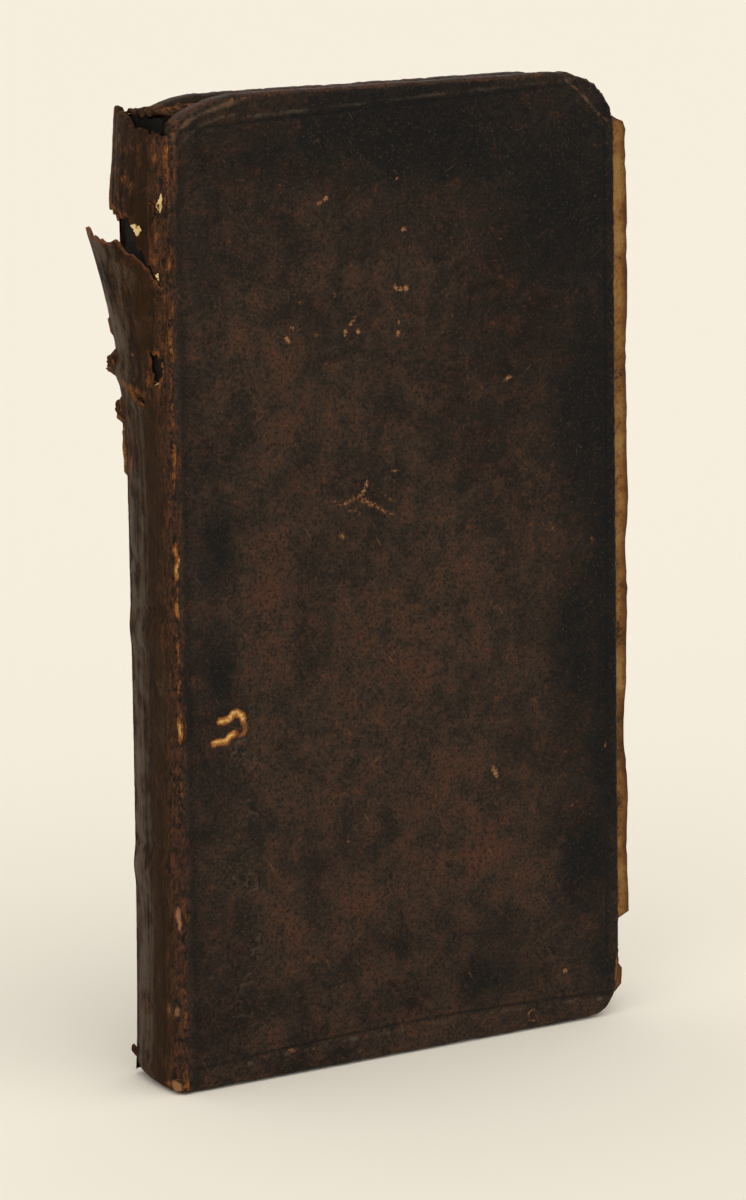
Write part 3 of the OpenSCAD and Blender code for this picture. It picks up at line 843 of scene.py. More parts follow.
def back_marks(x, z):
    """Values of wear on the back cover's face, which the photo doesn't show: quieter marks of these kinds."""
    spots = points(x, 40, z)
    scuff = np.clip(grain(spots, 6) * 1.3 - 0.55, 0, 0.8)
    border = np.minimum.reduce([x, COVER_W - x, z, BACK_H - z])
    stain = np.clip(0.75 - border / 18 + grain(spots + 50, 14) * 0.5, 0, 0.8)
    rub = np.clip(border / 40 + grain(spots + 90, 20) * 0.4, 0, 0.8)
    return scuff, stain, rub, np.zeros(len(x))


def drawn_in(x, z):
    """How far the back cover is drawn in beside the shoulder of the spine."""
    return 0.65 * mm("shoulder") * waist(z) * fade(x, 3)


def cover_face(x, z, side, height, marks):
    """How deep each place of a cover's face lies, and its values of wear, with painted highlights along its
    tooled lines, corner and ridge, and painted shade in the groove by the joint.
    """
    rim = mm("edge_round")
    spots = points(x, side * 30, z)
    scuff, stain, rub, worm = marks(x, z)
    line = fillet_depth(x, z, height)
    # The pressed groove by the joint, sunk and painted darker as shade
    groove = fade(x - mm("groove_x"), 0.85) * (z < height - mm("joint_cut_h"))
    edge = np.minimum.reduce([COVER_W - x, z, height - z])
    bruise = ease(0.68 * x + 0.73 * z, 0.68 * 96.4 + 0.73 * 194.2, 0.68 * 103 + 0.73 * 197)
    # A line of wear along the rounded head corner, also painted lighter as a highlight
    corner_line = near_path(x, z, (91.6, 198.2), (95.2, 195.4), (99.4, 191.0), (101.6, 189.4))
    corner_line = fade(corner_line, 0.55) * (0.5 if side > 0 else 1)
    # A raised, worn ridge along the cut corner at the joint's head, with painted sheen on it
    cut = near_path(x, z, *curve((0.6, height - 8.2), (4.2, height - 2.6), (16.5, height - 1.4), 6))
    ridge = np.maximum(fade(cut, 0.8), 0.8 * fade(cut - 2.2, 0.6) * (z < height - 3))
    ridge = ridge * bounded(0.9 + 0.4 * grain(spots + 5, 3))

    depth = ease(edge, rim, 4) * (0.16 * grain(spots, 32) + 0.07 * grain(spots, 8))
    depth = depth + 0.025 * grain(spots, 2.2) + 0.14 * line
    depth = depth + 0.32 * groove + 0.3 * worm + 0.08 * bounded(scuff) + 1.1 * bruise
    depth = np.maximum(depth - 0.1, -0.15) - 0.22 * ridge
    if side > 0:
        depth = depth + drawn_in(x, z)

    handled = 1 - 0.8 * (COVER_W - x < 3) * ease(z, 8, 14) * (1 - ease(z, height - 14, height - 8))
    wear = 0.42 * handled * np.exp(-(edge - rim) / 0.5) + 0.1 * np.exp(-edge / 5)
    wear = np.maximum.reduce([
        bounded(wear + 0.7 * corner_line + 0.6 * ridge),
        0.4 * fade(x - 0.5, 0.7),
        0.75 * fade(x - 1.2, 1.5) * ease(z, height - 26, height - 16),
    ])
    head_line, tail_line = fillet_lines(x, height)
    # Painted highlights: light lines either side of the head's tooled line, light dots under the tail's, and
    # sheen on the corner line and the ridge
    lit_lips = np.maximum(0.5 * fade(z - head_line - 1.1, 0.6), 0.3 * fade(z - head_line + 1.2, 0.5))
    lit_beads = fade(z - tail_line + 1.3, 0.8) * bounded(0.4 + 0.9 * grain(spots + 77, 1.6))
    burnish = np.maximum.reduce([
        lit_lips * ease(x, 8, 20) * bounded(0.8 + 0.6 * grain(spots + 11, 6)),
        0.7 * lit_beads * ease(x, 3, 10),
        0.6 * corner_line * np.clip(0.8 + 0.6 * grain(spots + 3, 2), 0, 1.1),
        0.65 * ridge,
    ])
    return depth, {
        "scuff": np.maximum(scuff, 0.42 * ridge),
        "stain": bounded(0.85 * stain + 0.4 * bruise),
        "rub": bounded(rub + 0.25 * np.exp(-edge / 2.5) + 0.4 * np.exp(-x / 1.6)),
        "wear": wear,
        "track": worm,
        # Tooled lines, and painted shade in the groove by the joint
        "line": np.maximum(line, 0.65 * groove),
        "burnish": burnish,
    }


def turn_over(piece, chain, side, height, layers):
    """Rounds a cover's leather over its free edges and lays the turn-ins inside, with their wear."""
    rim, turn_in = mm("edge_round"), mm("turn_in")
    start = places(piece)[chain]
    across, up = start[:, 0] - JOINT_X, start[:, 2]
    out = rim_outward(start[:, [0, 2]])
    sunk = HALF_T - np.abs(start[:, 1])
    near_head = up > height - 4
    worn_edge = (0.5 + 0.12 * near_head) * bounded(0.7 + 0.7 * grain(start, 6))
    worn_edge = worn_edge * (1 - 0.85 * ease(across, COVER_W - 5, COVER_W - 2) * ease(up, 6, 12))
    corner = ease(across, COVER_W - 14, COVER_W - 8) * ease(up, height - 14, height - 9)
    fray = np.minimum(0.16 * grain(start + 70, 1.3, 4) + 0.14 * grain(start + 20, 5) - 0.08, 0)
    fray = fray + corner * np.minimum(0.5 * grain(start + 9, 1.7, 4) - 0.12, 0.1)
    fray = fray + 0.3 * bounded(grain(start + 44, 2.1) - 0.45) * near_head * (side > 0)

    turns = [(rim * math.sin(angle), rim * (1 - math.cos(angle))) for angle in np.radians((22, 45, 68, 90))]
    turns += [(rim, 0.5 * COVER_T), (rim, COVER_T - 0.5), (rim - 0.15, COVER_T - 0.15), (rim - 0.5, COVER_T)]
    turns += [(rim - 3, COVER_T), (rim - turn_in, COVER_T), (rim - turn_in, COVER_T - 0.4)]
    for push, sink in turns:
        old, chain = chain, extrude_chain(piece, chain)
        before_inside = sink < COVER_T
        x, z = (start[:, [0, 2]] + out * (push + fray * before_inside)[:, None]).T
        inset = max(rim - push, 0)
        x = np.clip(x, JOINT_X + 0.03, JOINT_X + COVER_W + flare(z) - inset)
        z = np.clip(z, inset, height - inset + 0.3 * (side > 0))
        down = sunk + (COVER_T - sunk) * bounded(sink / COVER_T)
        grown = places(piece)
        grown[chain] = points(x, side * (HALF_T - down), z)
        put(piece, grown)
        for label, values in layers.items():
            fresh = values[old] * (0.7 if label == "stain" else 0.35)
            if label == "wear":
                fresh = worn_edge * (1 if before_inside else 0.3)
            elif label == "rub":
                fresh = 0.4 * worn_edge + 0.1 + 0.6 * near_head
            layers[label] = np.concatenate([values, fresh])


def cover_leather(name, node, side, height, columns, rows, marks):
    """One cover's leather: a worn face, turned over three edges and pared where it is pasted inside."""
    piece, number = sheet(name, columns, rows)
    rim = mm("edge_round")
    u = np.linspace(0, 1, number.shape[1])
    v = np.linspace(0, 1, number.shape[0])
    z = rim + (v - 0.5 * np.sin(2 * np.pi * v) / (2 * np.pi)) * (height - 2 * rim)
    left, right = cover_sides(z, height, rim)
    x = left[:, None] + (0.42 * u + 0.58 * u ** 1.5) * (right - left)[:, None]
    x, z = x.ravel(), np.repeat(z, len(u))
    depth, layers = cover_face(x, z, side, height, marks)
    put(piece, by_vertex(number, points(JOINT_X + x, side * (HALF_T - depth), z)))
    layers = {label: by_vertex(number, values) for label, values in layers.items()}

    free = np.flatnonzero(left > 0)[0]
    chain = [*number[0], *number[1:, -1], *number[-1, -2::-1], *number[free - 1: -1, 0][::-1]]
    turn_over(piece, chain, side, height, layers)

    joint_side = list(number[:free, 0])
    fresh = extrude_chain(piece, joint_side)
    grown = places(piece)
    grown[fresh, 1] -= side * mm("leather_t")
    put(piece, grown)
    for label, values in layers.items():
        paint(piece, label, np.concatenate([values, values[joint_side]]))

    face_out(piece, (0, side, 0))
    weld(piece, 0.004)
    smooth(piece, 60)
    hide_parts(node)
    return piece


class BOOK_OT_covers(bpy.types.Operator):
    """Leather of the front and back covers"""

    bl_idname = "book.covers"
    bl_label = "Cover leather"

    def execute(self, context):
        leather = finish("Cover leather", old_leather, 0.12, IOR=1.3)
        front = cover_leather("front_cover_leather", "front_leather", -1, FRONT_H, 205, 365, front_marks)
        back = cover_leather("back_cover_leather", "back_leather", 1, BACK_H, 90, 170, back_marks)
        for piece, body in ((front, "front_cover"), (back, "back_cover")):
            dress(piece, leather)
            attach(piece, body)
        return {"FINISHED"}


# Spine


def spine_section(g, half, bulge):
    """A spine's section at g, from the front joint at 0 to the back joint at 1."""
    power = 2 / 2.4
    turn = np.cos(np.pi * g)
    return -bulge * np.maximum(np.sin(np.pi * g), 0) ** power, -half * np.sign(turn) * np.abs(turn) ** power


def band_heights():
    """Heights of the three raised bands, from the tail up."""
    return [mm("tail_panel") + mm("band_pitch") * number for number in range(3)]


def band_rise(z):
    """How far the raised bands lift the spine at each height."""
    return mm("band_rise") * np.maximum.reduce([bell((z - band) / 5) for band in band_heights()])


def creases(z, drift):
    """How far each place lies above the creases over the two lower bands."""
    return [z - band - 5.6 - 0.8 * drift for band in band_heights()[:2]]


def waist(z):
    """0 at the head and the tail, 1 half-way up."""
    return np.sqrt(np.maximum(np.sin(np.pi * bounded(z / FRONT_H)), 0))


def spine_bulge(z):
    """How far the spine stands out at each height, between its bands."""
    return mm("spine_bulge") - mm("spine_hollow") * waist(z)


def tail_edge(g):
    """Height of the spine's worn tail."""
    return mm("tail_lift") * ease(g, 0.2, 1)


def ragged(g, turns):
    """Waves of a torn edge, with none where the tear starts."""
    waves = np.sin(np.radians(g * 360 * turns)) + 0.7 * np.sin(np.radians(g * 580 * turns + 40))
    return 0.4 * waves * ease(g, TEAR_START, 0.3)


def flap_top(g):
    """Height of the flap's top, without its teeth."""
    step = np.interp(g, (TEAR_START, 0.46, 0.66, 0.8, SLIT_START), (0, 0.7, 0.745, 0.862, 0.582))
    return FRONT_H - mm("tear_drop") + 14.5 * step + ragged(g, 7)


def stub_edge(g):
    """Height of the stub's lower edge, above the lost strip."""
    lost = np.interp(g, (TEAR_START, 0.36, 0.5, 0.8, 1), (0.02, 0.06, 1, 1.2, 1.1))
    return flap_top(g) + mm("loss") * lost + 0.3 + ragged(g, 9)


def head_edge(g):
    """Height of the spine's worn head."""
    lost = np.interp(g, (0, 0.3, 0.52, 0.6, 0.9, 1), (1, 0.95, 0.84, 0.5, 0.48, 0.6))
    return FRONT_H - mm("head_loss") * lost + ragged(g, 6)


def teeth(g, seed, size):
    """Fine teeth along a torn edge."""
    return grain(points(g * SPINE_GIRTH, 0, seed), size)


def unbroken(g):
    """Where the tear doesn't reach."""
    return (g < TEAR_START) | (g > TEAR_END)


def flap_line(g):
    """The torn edge below the tear, with its teeth."""
    return flap_top(g) + np.where(unbroken(g), 0, 0.55 * teeth(g, 4, 0.9)) * ease(g, TEAR_START, 0.2)


def stub_line(g):
    """The torn edge above the tear, which meets the edge below where the leather is unbroken."""
    opened = stub_edge(g) + 0.45 * teeth(g, 9, 0.8) * ease(g, TEAR_START, 0.2)
    return np.where(unbroken(g), flap_line(g), opened)


def stub_head(g):
    """The worn head with its teeth."""
    return head_edge(g) + 0.35 * teeth(g, 15, 1.1)


FLAP_CURLS = (
    # z, half height and reach of each torn end that curls out behind the flap
    (146.6, 2.3, 1.8), (136.6, 2.9, 1.3), (128.6, 5.6, 1.0), (154, 2, 0.6),
)


def flap_stand(g, z):
    """How far the flap below the tear stands off the spine."""
    start = FRONT_H - 27 - mm("flap_bend")
    bend = mm("flap_lift") * (np.maximum(z - start, 0) / mm("flap_bend")) ** 2 * ease(g, TEAR_START, 0.62)
    lumps = 0.9 * (bell((z - 145) / 3.4) + 0.5 * bell((z - 137) / 3.4)) * ease(g, 0.5, 0.75)
    rough = 0.4 * grain(points(0, 2, z), 0.9, 4)
    calm = 1 + 0.2 * grain(points(0, 8, z), 3)
    curl = 0
    for at, half, reach in FLAP_CURLS:
        curl = curl + reach * (1 - ease(np.abs(z - at), half * 0.7, half)) * (calm + rough * (reach > 1.1))
    return np.where(g > FLAP_END, 0, bend + lumps + curl * ease(g, 0.84, SLIT_START))


def stub_stand(g, z):
    """How far the stub above the tear stands off the spine."""
    share = (head_edge(g) - z) / (head_edge(g) - stub_edge(g))
    return mm("stub_lift") * share * ease(g, TEAR_START, 0.55) * (1 - ease(g, 0.85, 1))


def spine_place(g, z, stand=0.0, rise=0.0):
    """A place on the spine's outside, standing off it sideways or rising from it."""
    half = HALF_T - mm("joint_gap") + rise
    dx, y = spine_section(g, half, spine_bulge(z) + band_rise(z) + rise)
    y = np.where(y > 0, y * (1 - mm("shoulder") * waist(z) / half), y)
    return points(JOINT_X - mm("joint_gap") + dx - stand, y, z)


SPINE_HOLES = (
    # g, z, half widths of each hole or slit in the spine's leather, and its lean
    (0.27, 147.0, 0.085, 3.3, 0.002), (0.45, 140.2, 0.03, 1.7, 0.012), (0.15, 127.4, 0.012, 0.5, 0),
    (0.14, 171.2, 0.014, 0.55, 0), (0.06, 95.5, 0.01, 0.4, 0), (0.25, 82.2, 0.008, 2.4, 0.002),
    (0.2, 178.6, 0.05, 1.2, 0), (0.31, 163.6, 0.012, 0.6, 0),
)
SPINE_SCUFFS = (
    # g, z, width, height and strength of each bare place on the spine
    (0.29, 17.0, 1.5, 2.6, 0.65), (0.14, 1.8, 2.0, 1.6, 0.9), (0.28, 1.6, 2.0, 1.2, 0.7),
    (0.46, 182.5, 1.0, 1.5, 0.6), (0.47, 181.0, 0.8, 1.2, 0.5), (0.6, 60.0, 0.8, 2.2, 0.4),
)
TORN_TABS = (
    # g, z, reach, half height and droop of each torn end at the back of the spine
    (0.9, 147.2, 0.8, 1.5, -0.3), (0.9, 137.4, 0.5, 1.8, 0.2), (0.86, 3.9, 0.9, 1.0, 1.2),
)


def spine_columns():
    """Places round the spine, with lines of vertices at the tear's start and at the slit."""
    stops = (0, TEAR_START, 0.5, SLIT_START, SLIT_END, 1)
    steps = (12, 34, 36, 3, 4)
    runs = [np.linspace(*run, endpoint=False) for run in zip(stops, stops[1:], steps)]
    return np.concatenate([*runs, stops[-1:]])


def spine_sheet(name, rows, low, high, stand):
    """Part of the spine's leather between two edges, with its vertices' g and z and which edge a hole."""
    columns = spine_columns()
    piece, number = sheet(name, len(columns) - 1, rows)
    if number.shape[1] != len(columns):
        raise RuntimeError(f"{name} has {number.shape[1]} columns and needs {len(columns)}")
    v = np.linspace(0, 1, number.shape[0])[:, None]
    z = (low(columns) + v * (high(columns) - low(columns))).ravel()
    g = np.tile(columns, len(v))
    inside = np.zeros(len(g), bool)
    for at_g, at_z, half_g, half_z, lean in SPINE_HOLES:
        dg, dz = (g - at_g - lean * (z - at_z)) / half_g, (z - at_z) / half_z
        angle = np.arctan2(dz, dg)
        reach = np.hypot(dg, dz) * (1 + 0.2 * np.sin(3 * angle + at_z) + 0.16 * np.sin(7 * angle + 2 * at_z))
        hit = reach < 1
        inside |= hit
        push = 1 / np.maximum(reach[hit], 0.05)
        g[hit] += (g[hit] - at_g) * (push - 1)
        z[hit] += (z[hit] - at_z) * (push - 1)

    spots = points(g * SPINE_GIRTH, 7, z)
    crumple = 0.1 * grain(spots, 7) + 0.06 * grain(spots, 2.2) + 0.07 * grain(spots * (1, 1, 0.08), 2.8)
    crumple = crumple - 1.2 * bounded(1 - (z - tail_edge(g)) / 3.4) ** 2.2
    middle = ease(g, 0.16, 0.3) * (1 - ease(g, 0.75, 0.9))
    for crease in creases(z, grain(spots, 5)):
        crumple = crumple - 0.3 * fade(crease, 0.7) * middle
    rise = crumple * ease(g, 0.02, 0.1) * (1 - ease(g, SLIT_END, 1))
    put(piece, by_vertex(number, spine_place(g, z, stand(g, z), rise)))
    return piece, by_vertex(number, np.stack([g, z], axis=1)), by_vertex(number, inside)


def spine_wear(g, z):
    """Values of wear on the spine: worn to the fibres along the tear, the bands and the head, with painted
    sheen on its back and flap, painted shade in the creases over the bands and a painted shade band down its
    middle.
    """
    way_round = g * SPINE_GIRTH
    spots = points(way_round, 3, z)
    drift = grain(spots, 5)
    patchy = bounded(0.6 + 0.9 * drift)
    stub = z > stub_edge(g)
    tear = np.minimum(np.abs(z - flap_top(g)), np.abs(z - stub_edge(g))) + (g < 0.1) * 9
    torn = ease(g, 0.85, 0.89) * (g < FLAP_END) * ease(z, 121, 124)

    worn = [
        0.8 * fade(tear, 1.1) + 0.35 * ease(z, 176, 184) * (1 - ease(z, 192, 197)) * bounded(0.6 + drift),
        0.85 * fade(z - 141.5 - 6 * (g - 0.4), 1.6) * ease(g, 0.25, 0.4),
        0.9 * fade(z - 145, 4) * fade(g - 0.36, 0.05),
        0.7 * bell((z - 126) / 10) * ease(g, 0.55, 0.7),
        0.6 * fade(g - TEAR_START, 0.1) * patchy,
        0.8 * fade(np.maximum(z - tail_edge(g), 0), 1.3),
        0.9 * torn,
        0.62 * bounded(0.45 + 1.6 * grain(spots + 17, 2.6)) * stub,
        fade(g - 0.83, 0.08) * stub,
        0.7 * blot(way_round, z, 0.4 * SPINE_GIRTH, 189, 2.4, 6, -10) * stub,
    ]
    worn += [0.5 * bell((z - band) / 2.6) * bounded(0.5 + drift) for band in band_heights()]
    for at_g, at_z, half_g, half_z, *_ in SPINE_HOLES:
        worn.append(0.75 * fade(np.hypot((g - at_g) / half_g, (z - at_z) / half_z) - 1, 0.5))

    middle = ease(g, 0.16, 0.3) * (1 - ease(g, 0.6, 0.75))
    flap = ease(g, 0.3, 0.5) * ease(z, 128, 136) * (z < flap_top(g) - 1) * bounded(0.8 + 0.6 * drift)
    # Painted shade in the creases over the two lower bands
    stains_and_shade = [1.1 * fade(crease, 1.2) * middle for crease in creases(z, drift)]
    stains_and_shade += [
        np.clip(0.25 + 0.5 * drift + 0.35 * ease(g, 0.46, 0.6) * ease(z, 96, 120), 0, 0.8),
        # A painted shade band down the middle of the spine
        0.65 * fade(g - 0.38, 0.08) * patchy * (1 - ease(z, 118, 130)),
        0.88 * flap,
    ]
    stub_stain = np.clip(0.5 + 0.9 * drift + 0.4 * ease(g, 0.42, 0.52), 0, 0.95)

    scuffs = [np.clip(1.4 * grain(spots + 31, 3) - 0.75, 0, 0.7)]
    scuffs.append(0.75 * torn * (z < 134) * bounded(0.7 + drift))
    for at_g, at_z, wide, high, strength in SPINE_SCUFFS:
        mark = blot(way_round, z, at_g * SPINE_GIRTH, at_z, wide * 1.3, high * 1.2)
        scuffs.append(strength * np.sqrt(mark))

    # Painted sheen: a grey band on the back of the spine, and on the flap
    side = 0.86 * ease(g, 0.44, 0.52) * bounded(0.75 + 0.5 * drift)
    side = side * (1 - ease(z, 118, 138)) * ease(z, -30, 40)
    flap_sheen = 0.45 * ease(g, 0.36, 0.5) * ease(z, 126, 134) * (z < flap_top(g))
    return {
        "wear": bounded(np.maximum.reduce(worn)),
        "stain": np.where(stub, stub_stain, np.maximum.reduce(stains_and_shade)),
        "rub": bounded(0.45 + 0.6 * drift + 0.4 * stub),
        "scuff": np.maximum.reduce(scuffs),
        "burnish": np.maximum(side, flap_sheen),
        # The painted shade band again, carried in the line layer
        "line": fade(g - 0.38, 0.1) * bounded(0.75 + 0.7 * drift),
    }


def even_wear(wear, rub, stain):
    """Values of wear for leather without scuffs, painted sheen, tooled lines or painted shade bands."""
    return {"wear": wear, "rub": rub, "stain": stain, "scuff": 0.0, "burnish": 0.0, "line": 0.0}


class BOOK_OT_spine(bpy.types.Operator):
    """Torn leather of the spine, with its flap, its stub and its holes"""

    bl_idname = "book.spine"
    bl_label = "Spine leather"

    def execute(self, context):
        low = self.part(
            "spine_low", 290, tail_edge, flap_line, flap_stand, turned=tail_edge, way=-1, slit_from=126)
        stub = self.part(
            "spine_stub", 44, stub_line, stub_head, stub_stand, turned=head_edge, way=1, slit_from=0)
        piece = merge([low, stub], "torn_spine_leather")
        weld(piece, 0.003)
        face_out(piece, (-1, 0, 0))
        outside = finish("Spine leather", spine_leather, 0.06, IOR=1.2)
        dress(piece, outside, finish("Torn leather", torn_leather, 0.2))
        self.thicken(piece, mm("leather_t"), -1)
        smooth(piece, 60)
        self.torn_tabs(piece)
        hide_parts("spine_leather")
        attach(piece, "book_block")
        return {"FINISHED"}

    def part(self, name, rows, low, high, stand, turned, way, slit_from):
        """The spine's leather below or above the tear, with its wear, its holes and its end turned in."""
        piece, at, cut = spine_sheet(name, rows, low, high, stand)
        for layer, values in spine_wear(at[:, 0], at[:, 1]).items():
            paint(piece, layer, values)
        g, z = face_centres(piece, at).T
        gone = (g > SLIT_START) & (g < SLIT_END) & (z > slit_from)
        gone |= face_centres(piece, cut) > 0.99
        self.turn_in(piece, at, turned, way)
        drop_faces(piece, np.concatenate([gone, np.zeros(len(piece.data.polygons) - len(gone), bool)]))
        return piece

    def thicken(self, piece, millimetres, offset):
        """Gives leather its thickness, torn leather inside and along the rim."""
        modify(piece, "SOLIDIFY", thickness=millimetres * MM, offset=offset,
               material_offset=1, material_offset_rim=1)

    def end_chain(self, at, edge, way):
        """The last vertex of each column along the head or the tail, in order round the spine."""
        chain = []
        for index in np.argsort(at[:, 0], kind="stable"):
            g, z = at[index]
            if abs(z - edge(g)) > 1.2 or not 0.1 < g < 0.935:
                continue
            if not chain or g - at[chain[-1], 0] > 1e-6:
                chain.append(index)
            elif (z - at[chain[-1], 1]) * way > 0:
                chain[-1] = index
        return chain

    def turn_in(self, part, at, edge, way):
        """Turns the leather's head or tail over and along the inside of the spine."""
        chain = self.end_chain(at, edge, way)
        g, z = at[chain].T
        deep = 0.5 + 0.5 * ease(g, 0.1, 0.2)
        if way > 0:
            stand = stub_stand(g, z)
            steps = ((0.3, 0.32), (0.95, 0.42), (1.55, 0.2), (1.8, -0.5), (1.8, -2.2), (1.75, -5))
        else:
            lifted = z + 0.55 * ease(g, 0.1, 0.16) * (1 - ease(g, 0.9, 0.935))
            moved = places(part)
            moved[chain] = spine_place(g, lifted, 0, -0.8 * ease(g, 0.1, 0.2))
            put(part, moved)
            z, stand = tail_edge(g), 0
            steps = ((1.1, -0.2), (1.4, -0.05), (1.8, 0.0), (2.2, -0.16), (2.5, -0.8), (2.5, -4))
        for inward, out in steps:
            chain = extrude_chain(part, chain)
            wave = 0.25 * grain(points(g * SPINE_GIRTH, out, 3), 1.5) * (out < -0.3)
            grown = places(part)
            grown[chain] = spine_place(g, z + way * (out + wave), stand, -inward * deep)
            put(part, grown)
        for layer, value in even_wear(0.4, 0.8, 0.35).items():
            values = np.empty(len(part.data.vertices), np.float32)
            part.data.attributes[layer].data.foreach_get("value", values)
            values[len(at):] = value
            paint(part, layer, values)

    def torn_tabs(self, spine):
        """Torn ends of leather that stick out of the back of the spine."""
        tabs = []
        for index, (g, z, reach, half, droop) in enumerate(TORN_TABS):
            tab, _ = sheet(f"tab_{index}", 9, 12)
            across, up, _ = (places(tab) / places(tab).max()).T
            out = (across + 1) / 2
            jag = grain(points(out * 2 + 7 * index, 0, up * half), 0.6, 4)
            edge = reach * bounded(1 - 0.7 * up ** 4) * (1 + 0.6 * jag)
            spots = spine_place(g, z + up * half * (1 - 0.2 * out), flap_stand(g, z + up * half))
            spots[:, 0] += 0.6 - out * (edge + 0.6)
            spots[:, 1] = np.minimum(spots[:, 1] + 0.5 * out ** 2 + 0.3 * jag * out, HALF_T - 0.5)
            spots[:, 2] += droop * out ** 2 + 0.25 * jag
            put(tab, spots)
            tabs.append(tab)
        piece = merge(tabs, "torn_tabs")
        for layer, value in even_wear(0.5, 0.8, 0.2).items():
            paint(piece, layer, np.full(len(piece.data.vertices), value))
        face_out(piece, (-0.2, -1, 0))
        dress(piece, *spine.data.materials)
        self.thicken(piece, TAB_T, 0)
        modify(piece, "SUBSURF", levels=1, render_levels=1)
        smooth(piece, 60)
        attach(piece, "book_block")


# Joints


JOINT_CRACKS = (
    # z, half length and strength of each bare crack along a joint
    (190, 4, 0.55), (182, 7, 0.5), (168, 5, 0.5), (152, 9, 0.65), (138, 5, 0.45), (129, 6, 0.75),
    (108.6, 4.6, 1.15), (99.6, 2.4, 1.0), (91, 4, 0.55), (83.3, 2.4, 0.6), (75, 3.4, 1.1), (62, 6, 0.4),
    (36, 6, 0.4), (21, 2.2, 0.35), (15.6, 2.4, 0.4), (2, 3, 0.6),
)
JOINT_PATCHES = (
    # place across, z, half width, half height and strength of each rubbed patch on a joint
    (-0.5, 36, 0.5, 4.4, 0.75), (-0.8, 16.8, 0.5, 2.6, 0.6), (-0.7, 1.4, 0.6, 2.0, 0.8),
)


class BOOK_OT_joints(bpy.types.Operator):
    """Cracked leather along the two joints"""

    bl_idname = "book.joints"
    bl_label = "Joint leather"

    def execute(self, context):
        material = finish("Joint leather", joint_leather, 0.05, IOR=1.2)
        for name, body, side, height in (
                ("front_joint_strip", "front_cover", -1, FRONT_H),
                ("back_joint_strip", "back_cover", 1, BACK_H)):
            dress(self.strip(name, body, side, height), material)
        return {"FINISHED"}

    def strip(self, name, body, side, height):
        """One joint's strip, from the spine's edge across the hinge to the cover's edge."""
        piece, number = sheet(name, 22, 420)
        s = np.linspace(-1, 1, number.shape[1])
        z = np.linspace(0.5, height - mm("joint_cut_h") - 0.6, number.shape[0])
        s, z = (values.ravel() for values in np.meshgrid(s, z))
        spread = 1 + 0.45 * grain(points(np.sign(s) * 9, side, z), 2.4, 4)
        over = 1.1 * bounded(s) * spread
        fibres = grain(points(s * 3.2, 5 * side, z * 0.14), 0.55, 4)
        lumps = grain(points(s * 3, 5 * side, z), 1.3)
        lift = 0.06 + (0.24 * np.clip(fibres, -0.3, 1) + 0.12 * np.clip(lumps, -0.4, 1)) * bell(s / 1.05)
        x, y, _ = spine_place(0.2 * bounded(-s) * spread, z).T
        past_spine = s > -0.05
        x = np.where(past_spine, JOINT_X - mm("joint_gap") / 2, x)
        x = np.where(s > 0, JOINT_X + over, x)
        y = np.where(past_spine, -HALF_T, np.minimum(y, -HALF_T + 3)) + drawn_in(over, z) * (side > 0)
        y = (y - lift * (np.abs(s) < 0.98)) * -side
        put(piece, by_vertex(number, points(x, y, z)))

        drift = grain(points(0, 5 * side, z), 3)
        across = np.sqrt(bell((s - 0.05 - 0.25 * drift) / 0.45))
        cracks = [strength * np.sqrt(bell((z - at) / (1.2 * half))) for at, half, strength in JOINT_CRACKS]
        paint(piece, "scuff", by_vertex(number, np.maximum.reduce(cracks) * across))
        patches = [strength * np.sqrt(blot(s, z, *oval)) for *oval, strength in JOINT_PATCHES]
        paint(piece, "rub", by_vertex(number, np.maximum.reduce(patches) * (1 if side < 0 else 0.5)))
        face_out(piece, (-0.4, side, 0))
        smooth(piece, 70)
        line_x, line_y = JOINT_X * MM, side * HALF_T * MM
        start, end = (line_x - 0.3 * MM, line_y, 0.1), (line_x + 0.1 * MM, line_y, 0.1)
        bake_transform(piece)
        return piece


# Leaves


GATHERINGS = 7
LEAF_COLUMNS = (
    # place across a leaf from its back to its fore-edge, and how browned it is there
    (0, 1), (0.0025, 0.8), (0.03, 0), (0.35, 0), (0.7, 0), (0.9, 0.15),
    (0.95, 0.5), (0.972, 0.72), (0.984, 0.84), (0.992, 0.92), (0.997, 0.97), (1, 1),
)


def first_edge(z):
    """How far the first gathering stands out at each height, with its lost tail corner."""
    wave = 0.25 + 0.3 * (1 - np.sin(np.radians(7.3 * z)) * 0.6 - np.sin(np.radians(17 * z + 40)) * 0.4)
    worn = mm("leaf_overhang") - wave - 1.2 * fade(z - 62, 9) - 0.45 * fade(z - 100.6, 4)
    corner = np.interp(z, (0, 4.1, 9.1, 11.1, 16.6, 19.6, 20.2), (-4, 3.5, 3.9, 1.0, -1.0, 2.5, 5.7))
    head = np.interp(z, (179.6, 186, 186.8, 187.6, 188.4, 189.3, 190, 190.4, 192.6, 196.6),
                     (10.5, 5.68, 5.44, 4.98, 4.75, 4.05, 2.4, -0.1, -1.5, -4.5))
    return np.minimum.reduce([worn, np.where(z < 20.2, corner, 11), head])


